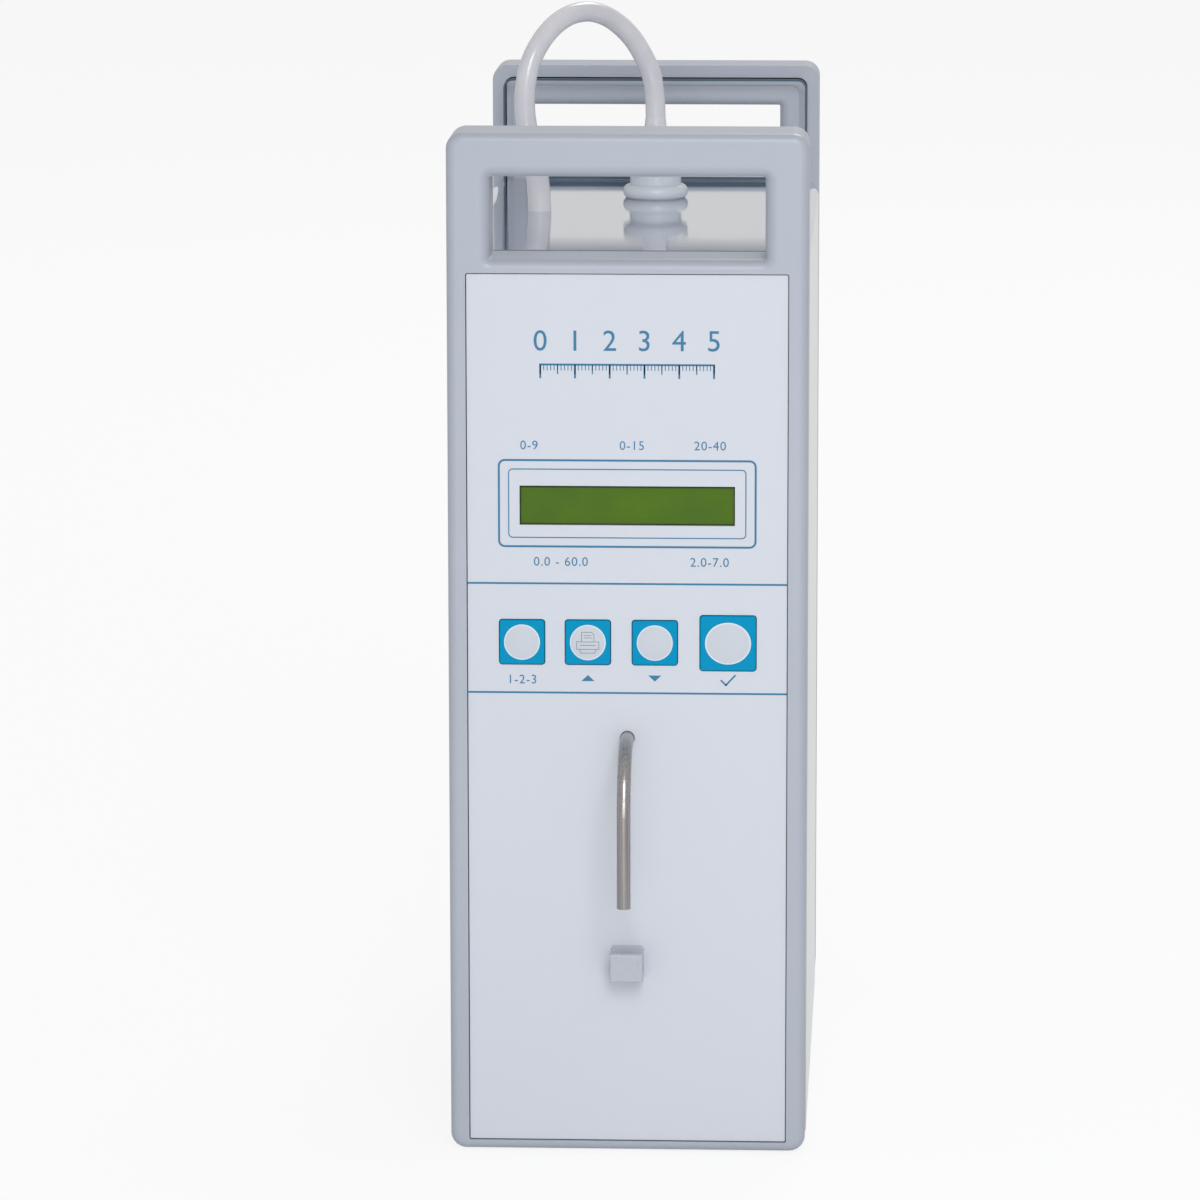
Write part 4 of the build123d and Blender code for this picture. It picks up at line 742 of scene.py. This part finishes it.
def press_onto(piece, node, forward):
    """Lay a flat piece on a node's surface along Y, and give it the ink's thickness."""
    apply_modifier(piece, "SHRINKWRAP", target=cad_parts[node], wrap_method="PROJECT",
                   use_project_y=True, use_positive_direction=forward, use_negative_direction=not forward)
    apply_modifier(piece, "SOLIDIFY", thickness=INK_DEPTH, offset=1.0)


key_middle = node_middle("up_key")
icon_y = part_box("up_key")[0].y - INK_DEPTH
icon = draw("printer_drawing", key_middle.x, icon_y, key_middle.z, ICON_STROKES, ICON_WIDTH)
bpy.ops.object.mode_set(mode="EDIT")
bpy.ops.mesh.select_all(action="SELECT")
bpy.ops.mesh.subdivide(number_cuts=ICON_STEPS)
bpy.ops.object.mode_set(mode="OBJECT")
press_onto(icon, "up_key", True)
finish_piece(icon, icon_grey, "up_button")

# %% [markdown]
# The rocker carries the usual two marks: a bar for on and a ring for off. They are pressed onto its two
# sloping faces from behind and ride with it.

# %% Marks on the rocker
ROCKER_MARK_RISE = 4.0 * MM
BAR_SIZE = (0.7 * MM, 3.0 * MM)
RING_RADIUS = 1.5 * MM
RING_LINE = 0.55 * MM
ROUND_STEPS = 40

mark_white, _ = moulded_finish("mark_white", (0.80, 0.80, 0.80), 0.97, 0.45, 3000.0, 0.0)
rocker_middle = node_middle("power_rocker")
mark_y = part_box("power_rocker")[1].y + INK_DEPTH
bar = add_plane("rocker_bar", (rocker_middle.x, mark_y, rocker_middle.z + ROCKER_MARK_RISE), BAR_SIZE,
                facing="rear")
press_onto(bar, "power_rocker", False)
finish_piece(bar, mark_white, "rocker")

bpy.ops.object.select_all(action="DESELECT")
bpy.ops.mesh.primitive_circle_add(vertices=ROUND_STEPS, radius=RING_RADIUS, fill_type="NGON",
                                  location=(rocker_middle.x, mark_y, rocker_middle.z - ROCKER_MARK_RISE),
                                  rotation=(math.pi / 2, 0.0, FACING["rear"]))
ring = settle(bpy.context.object, "rocker_ring")
bpy.ops.object.mode_set(mode="EDIT")
keep_outline(RING_LINE)
bpy.ops.object.mode_set(mode="OBJECT")
press_onto(ring, "power_rocker", False)
finish_piece(ring, mark_white, "rocker")

# %% [markdown]
# Six pan-head screws hold the rear panel and the mains inlet. One head is modelled: a cylinder whose outer
# edge is bevelled round, with a cross recess cut by two slim tapered blocks. It is then copied to the six
# places, each copy with its own mesh, and all six stand for the plain screws of the frame.

# %% Rear screws
HEAD_RADIUS = 2.8 * MM
HEAD_HEIGHT = 1.8 * MM
HEAD_ROUNDING = 0.9 * MM
RECESS_LENGTH = 3.2 * MM
RECESS_WIDTH = 0.75 * MM
RECESS_DEPTH = 1.1 * MM
RECESS_TAPER = 0.6
INLET_SCREW_INSET = 5.0 * MM
SMOOTH_ANGLE = 35.0


def select_faces(piece, wanted):
    """Select only the faces for which a test on their normal and middle holds."""
    for vertex in piece.data.vertices:
        vertex.select = False
    for edge in piece.data.edges:
        edge.select = False
    for face in piece.data.polygons:
        face.select = wanted(face.normal, face.center)


def screw_head():
    """One head that faces +Y, with its seat at the origin."""
    bpy.ops.object.select_all(action="DESELECT")
    bpy.ops.mesh.primitive_cylinder_add(vertices=ROUND_STEPS, radius=HEAD_RADIUS, depth=HEAD_HEIGHT,
                                        location=(0.0, HEAD_HEIGHT / 2, 0.0),
                                        rotation=(-math.pi / 2, 0.0, 0.0))
    head = settle(bpy.context.object, "screw_head")
    select_faces(head, lambda normal, middle: normal.y > 0.9)
    bpy.ops.object.mode_set(mode="EDIT")
    bpy.ops.mesh.bevel(offset=HEAD_ROUNDING, segments=5, affect="EDGES")
    bpy.ops.object.mode_set(mode="OBJECT")
    for size in ((RECESS_LENGTH, RECESS_DEPTH, RECESS_WIDTH), (RECESS_WIDTH, RECESS_DEPTH, RECESS_LENGTH)):
        blade = add_block("recess_blade", (0.0, HEAD_HEIGHT, 0.0), (size[0], 2 * size[1], size[2]))
        select_faces(blade, lambda normal, middle: normal.y < -0.9)
        bpy.ops.object.mode_set(mode="EDIT")
        bpy.ops.transform.resize(value=(RECESS_TAPER, 1.0, RECESS_TAPER))
        bpy.ops.object.mode_set(mode="OBJECT")
        apply_modifier(head, "BOOLEAN", operation="DIFFERENCE", object=blade, solver="EXACT")
        bpy.data.objects.remove(blade)
    return head


screws_low, screws_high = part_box("rear_screws")
inlet_low, inlet_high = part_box("mains_inlet")
panel_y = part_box("rear_plate")[1].y
places = [(x, panel_y, z) for x in (screws_low.x + HEAD_RADIUS, screws_high.x - HEAD_RADIUS)
          for z in (screws_low.z + HEAD_RADIUS, screws_high.z - HEAD_RADIUS)]
places += [(x, inlet_high.y, (inlet_low.z + inlet_high.z) / 2)
           for x in (inlet_low.x + INLET_SCREW_INSET, inlet_high.x - INLET_SCREW_INSET)]
master = screw_head()
heads = []
for place in places:
    head = bpy.data.objects.new("screw_head_copy", master.data.copy())
    bpy.context.scene.collection.objects.link(head)
    bpy.ops.object.select_all(action="DESELECT")
    head.select_set(True)
    bpy.context.view_layer.objects.active = head
    head.location = place
    heads.append(settle(head, "screw_head_copy"))
bpy.data.objects.remove(master)
screw_heads = join_pieces(heads, "rear_screw_heads")
bpy.ops.object.shade_smooth_by_angle(angle=math.radians(SMOOTH_ANGLE))
finish_piece(screw_heads, plated_steel, "casing")
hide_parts("rear_screws")

# %% [markdown]
# The rear frame is two mouldings with a narrow joint between them, and the joint's shade is painted: a dark
# outline,
# like those of the display, set just behind the face, without its lower side. A low sill closes the cover's
# rear edge:
# a pale strip with a dark strip in front that paints the shade at its foot, which the polished cover mirrors
# as a band.

# %% Painted shade in the rear frame
JOINT_SHADE_HALF = 48.28 * MM
JOINT_SHADE_LOW = 261.0 * MM
JOINT_SHADE_HIGH = 296.28 * MM
JOINT_SHADE_CORNER = 3.0 * MM
JOINT_SHADE_WIDTH = 0.66 * MM
JOINT_SHADE_SETBACK = 0.25 * MM
JOINT_SHADE_DEPTH = 1.5 * MM
SILL_LENGTH = 78.0 * MM
SILL_HEIGHT = 3.4 * MM
SILL_DEPTH = 2.6 * MM
SILL_EDGE = 0.5 * MM
STRIP_LOW = 0.4 * MM
STRIP_HIGH = 2.0 * MM
STRIP_PROUD = 0.3 * MM

# Painted shade: a dark blue-grey outline fills the rear frame's joint, and a dark strip lies at the sill's
# foot.
painted_shade_blue, _ = moulded_finish("painted_shade_blue", (0.050, 0.088, 0.140), 0.85, 0.55, 1200.0, 0.03 * MM)
rear_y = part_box("rear_liner")[0].y
joint_shade = rounded_outline("rear_joint_shade", rear_y + JOINT_SHADE_SETBACK, JOINT_SHADE_HALF, JOINT_SHADE_LOW, JOINT_SHADE_HIGH, JOINT_SHADE_CORNER,
                       JOINT_SHADE_WIDTH)
select_faces(joint_shade, lambda normal, middle: middle.z < JOINT_SHADE_LOW + JOINT_SHADE_WIDTH)
bpy.ops.object.mode_set(mode="EDIT")
bpy.ops.mesh.delete(type="FACE")
bpy.ops.object.mode_set(mode="OBJECT")
apply_modifier(joint_shade, "SOLIDIFY", thickness=JOINT_SHADE_DEPTH, offset=-1.0)
finish_piece(joint_shade, painted_shade_blue, "casing")

sill_y = rear_y + STRIP_PROUD + SILL_DEPTH / 2
sill = add_block("rear_sill", (0.0, sill_y, COVER_TOP + SILL_HEIGHT / 2),
                 (SILL_LENGTH, SILL_DEPTH, SILL_HEIGHT))
apply_modifier(sill, "BEVEL", width=SILL_EDGE, segments=3)
finish_piece(sill, frame_plastic, "casing")
# Painted shade at the sill's foot: a thin dark strip in front of the sill.
strip_z = COVER_TOP + (STRIP_LOW + STRIP_HIGH) / 2
strip = add_block("rear_sill_shade", (0.0, rear_y + STRIP_PROUD / 2, strip_z),
                  (SILL_LENGTH, STRIP_PROUD, STRIP_HIGH - STRIP_LOW))
finish_piece(strip, painted_shade_blue, "casing")

# %% [markdown]
# The floor is a wide pale sheet under soft lamps. Camera and transmission rays see the floor and the world
# almost plain white, and glossy rays see them a little darker, because a mirror of steel would otherwise
# vanish against the background. The light that falls on the instrument stays at a plain level, and the floor
# keeps a faint shadow.

# %% Floor
FLOOR_SIZE = 12.0
FLOOR_GLOW = 0.86
FLOOR_PALE = (0.86, 0.87, 0.88)
MIRRORED_WHITE = 0.71


def level_by_ray(tree, plain, seen, mirrored):
    """The plain level, or a higher one for rays that see the background directly or in a mirror."""
    path = tree.nodes.new("ShaderNodeLightPath")
    highest = None
    for ray, level in (("Is Camera Ray", seen), ("Is Transmission Ray", seen), ("Is Glossy Ray", mirrored)):
        scaled = tree.nodes.new("ShaderNodeMath")
        scaled.operation = "MULTIPLY"
        scaled.inputs[1].default_value = level
        tree.links.new(path.outputs[ray], scaled.inputs[0])
        larger = tree.nodes.new("ShaderNodeMath")
        larger.operation = "MAXIMUM"
        larger.inputs[1].default_value = plain
        tree.links.new(scaled.outputs["Value"], larger.inputs[0])
        if highest is not None:
            tree.links.new(highest, larger.inputs[1])
        highest = larger.outputs["Value"]
    return highest


bpy.ops.object.select_all(action="DESELECT")
bpy.ops.mesh.primitive_plane_add(size=FLOOR_SIZE, location=(0.0, 0.0, 0.0))
floor = bpy.context.object
floor.name = "floor"
floor_paint, floor_shader = start_finish("floor_paint", FLOOR_PALE, 0.6)
tree = floor_paint.node_tree
glow = tree.nodes.new("ShaderNodeEmission")
mixer = tree.nodes.new("ShaderNodeMixShader")
tree.links.new(level_by_ray(tree, 0.0, 1.0, MIRRORED_WHITE), glow.inputs["Strength"])
tree.links.new(level_by_ray(tree, 0.0, FLOOR_GLOW, FLOOR_GLOW), mixer.inputs["Fac"])
tree.links.new(floor_shader.outputs["BSDF"], mixer.inputs[1])
tree.links.new(glow.outputs["Emission"], mixer.inputs[2])
tree.links.new(mixer.outputs["Shader"], tree.nodes["Material Output"].inputs["Surface"])
floor.data.materials.append(floor_paint)
print("floor", FLOOR_SIZE, "m")

# %% [markdown]
# The key lamp stands almost in line with the camera, a little to the right and above it, because the
# sampling tube's shadow falls slightly left and down on the panel. The world fills in evenly, and an upper
# lamp reaches over the front frame to the rear one. A lamp behind serves the views from the back, and a weak
# one near the floor brightens the foot of the panel. A row holds a lamp's name, its place and its aim in
# metres, its size and its power in watts.

# %% Light
WORLD_LEVEL = 0.53
MIDDLE = (0.0, 0.0, 0.15)
LAMPS = (
    ("key_lamp", (0.30, -2.05, 0.60), MIDDLE, 0.5, 2.0),
    ("upper_lamp", (0.3, -1.9, 1.35), MIDDLE, 0.9, 17.0),
    ("rear_lamp", (0.5, 1.8, 1.9), MIDDLE, 1.0, 14.0),
    ("low_fill", (0.05, -0.75, 0.03), (0.0, -0.1, 0.03), 0.5, 1.2),
)

world = bpy.data.worlds.new("studio")
world.use_nodes = True
bpy.context.scene.world = world
tree = world.node_tree
sky = tree.nodes["Background"]
sky.inputs["Color"].default_value = (1.0, 1.0, 1.0, 1.0)
tree.links.new(level_by_ray(tree, WORLD_LEVEL, 1.0, MIRRORED_WHITE), sky.inputs["Strength"])


def soft_lamp(name, place, aim, size, power):
    """A square area lamp that looks at a point."""
    lamp_data = bpy.data.lights.new(name, "AREA")
    lamp_data.size = size
    lamp_data.energy = power
    lamp = bpy.data.objects.new(name, lamp_data)
    bpy.context.scene.collection.objects.link(lamp)
    lamp.location = place
    lamp.rotation_euler = (Vector(aim) - Vector(place)).to_track_quat("-Z", "Y").to_euler()


for lamp_row in LAMPS:
    soft_lamp(*lamp_row)
bpy.context.scene.view_settings.view_transform = "Standard"
print("lamps", len(LAMPS))
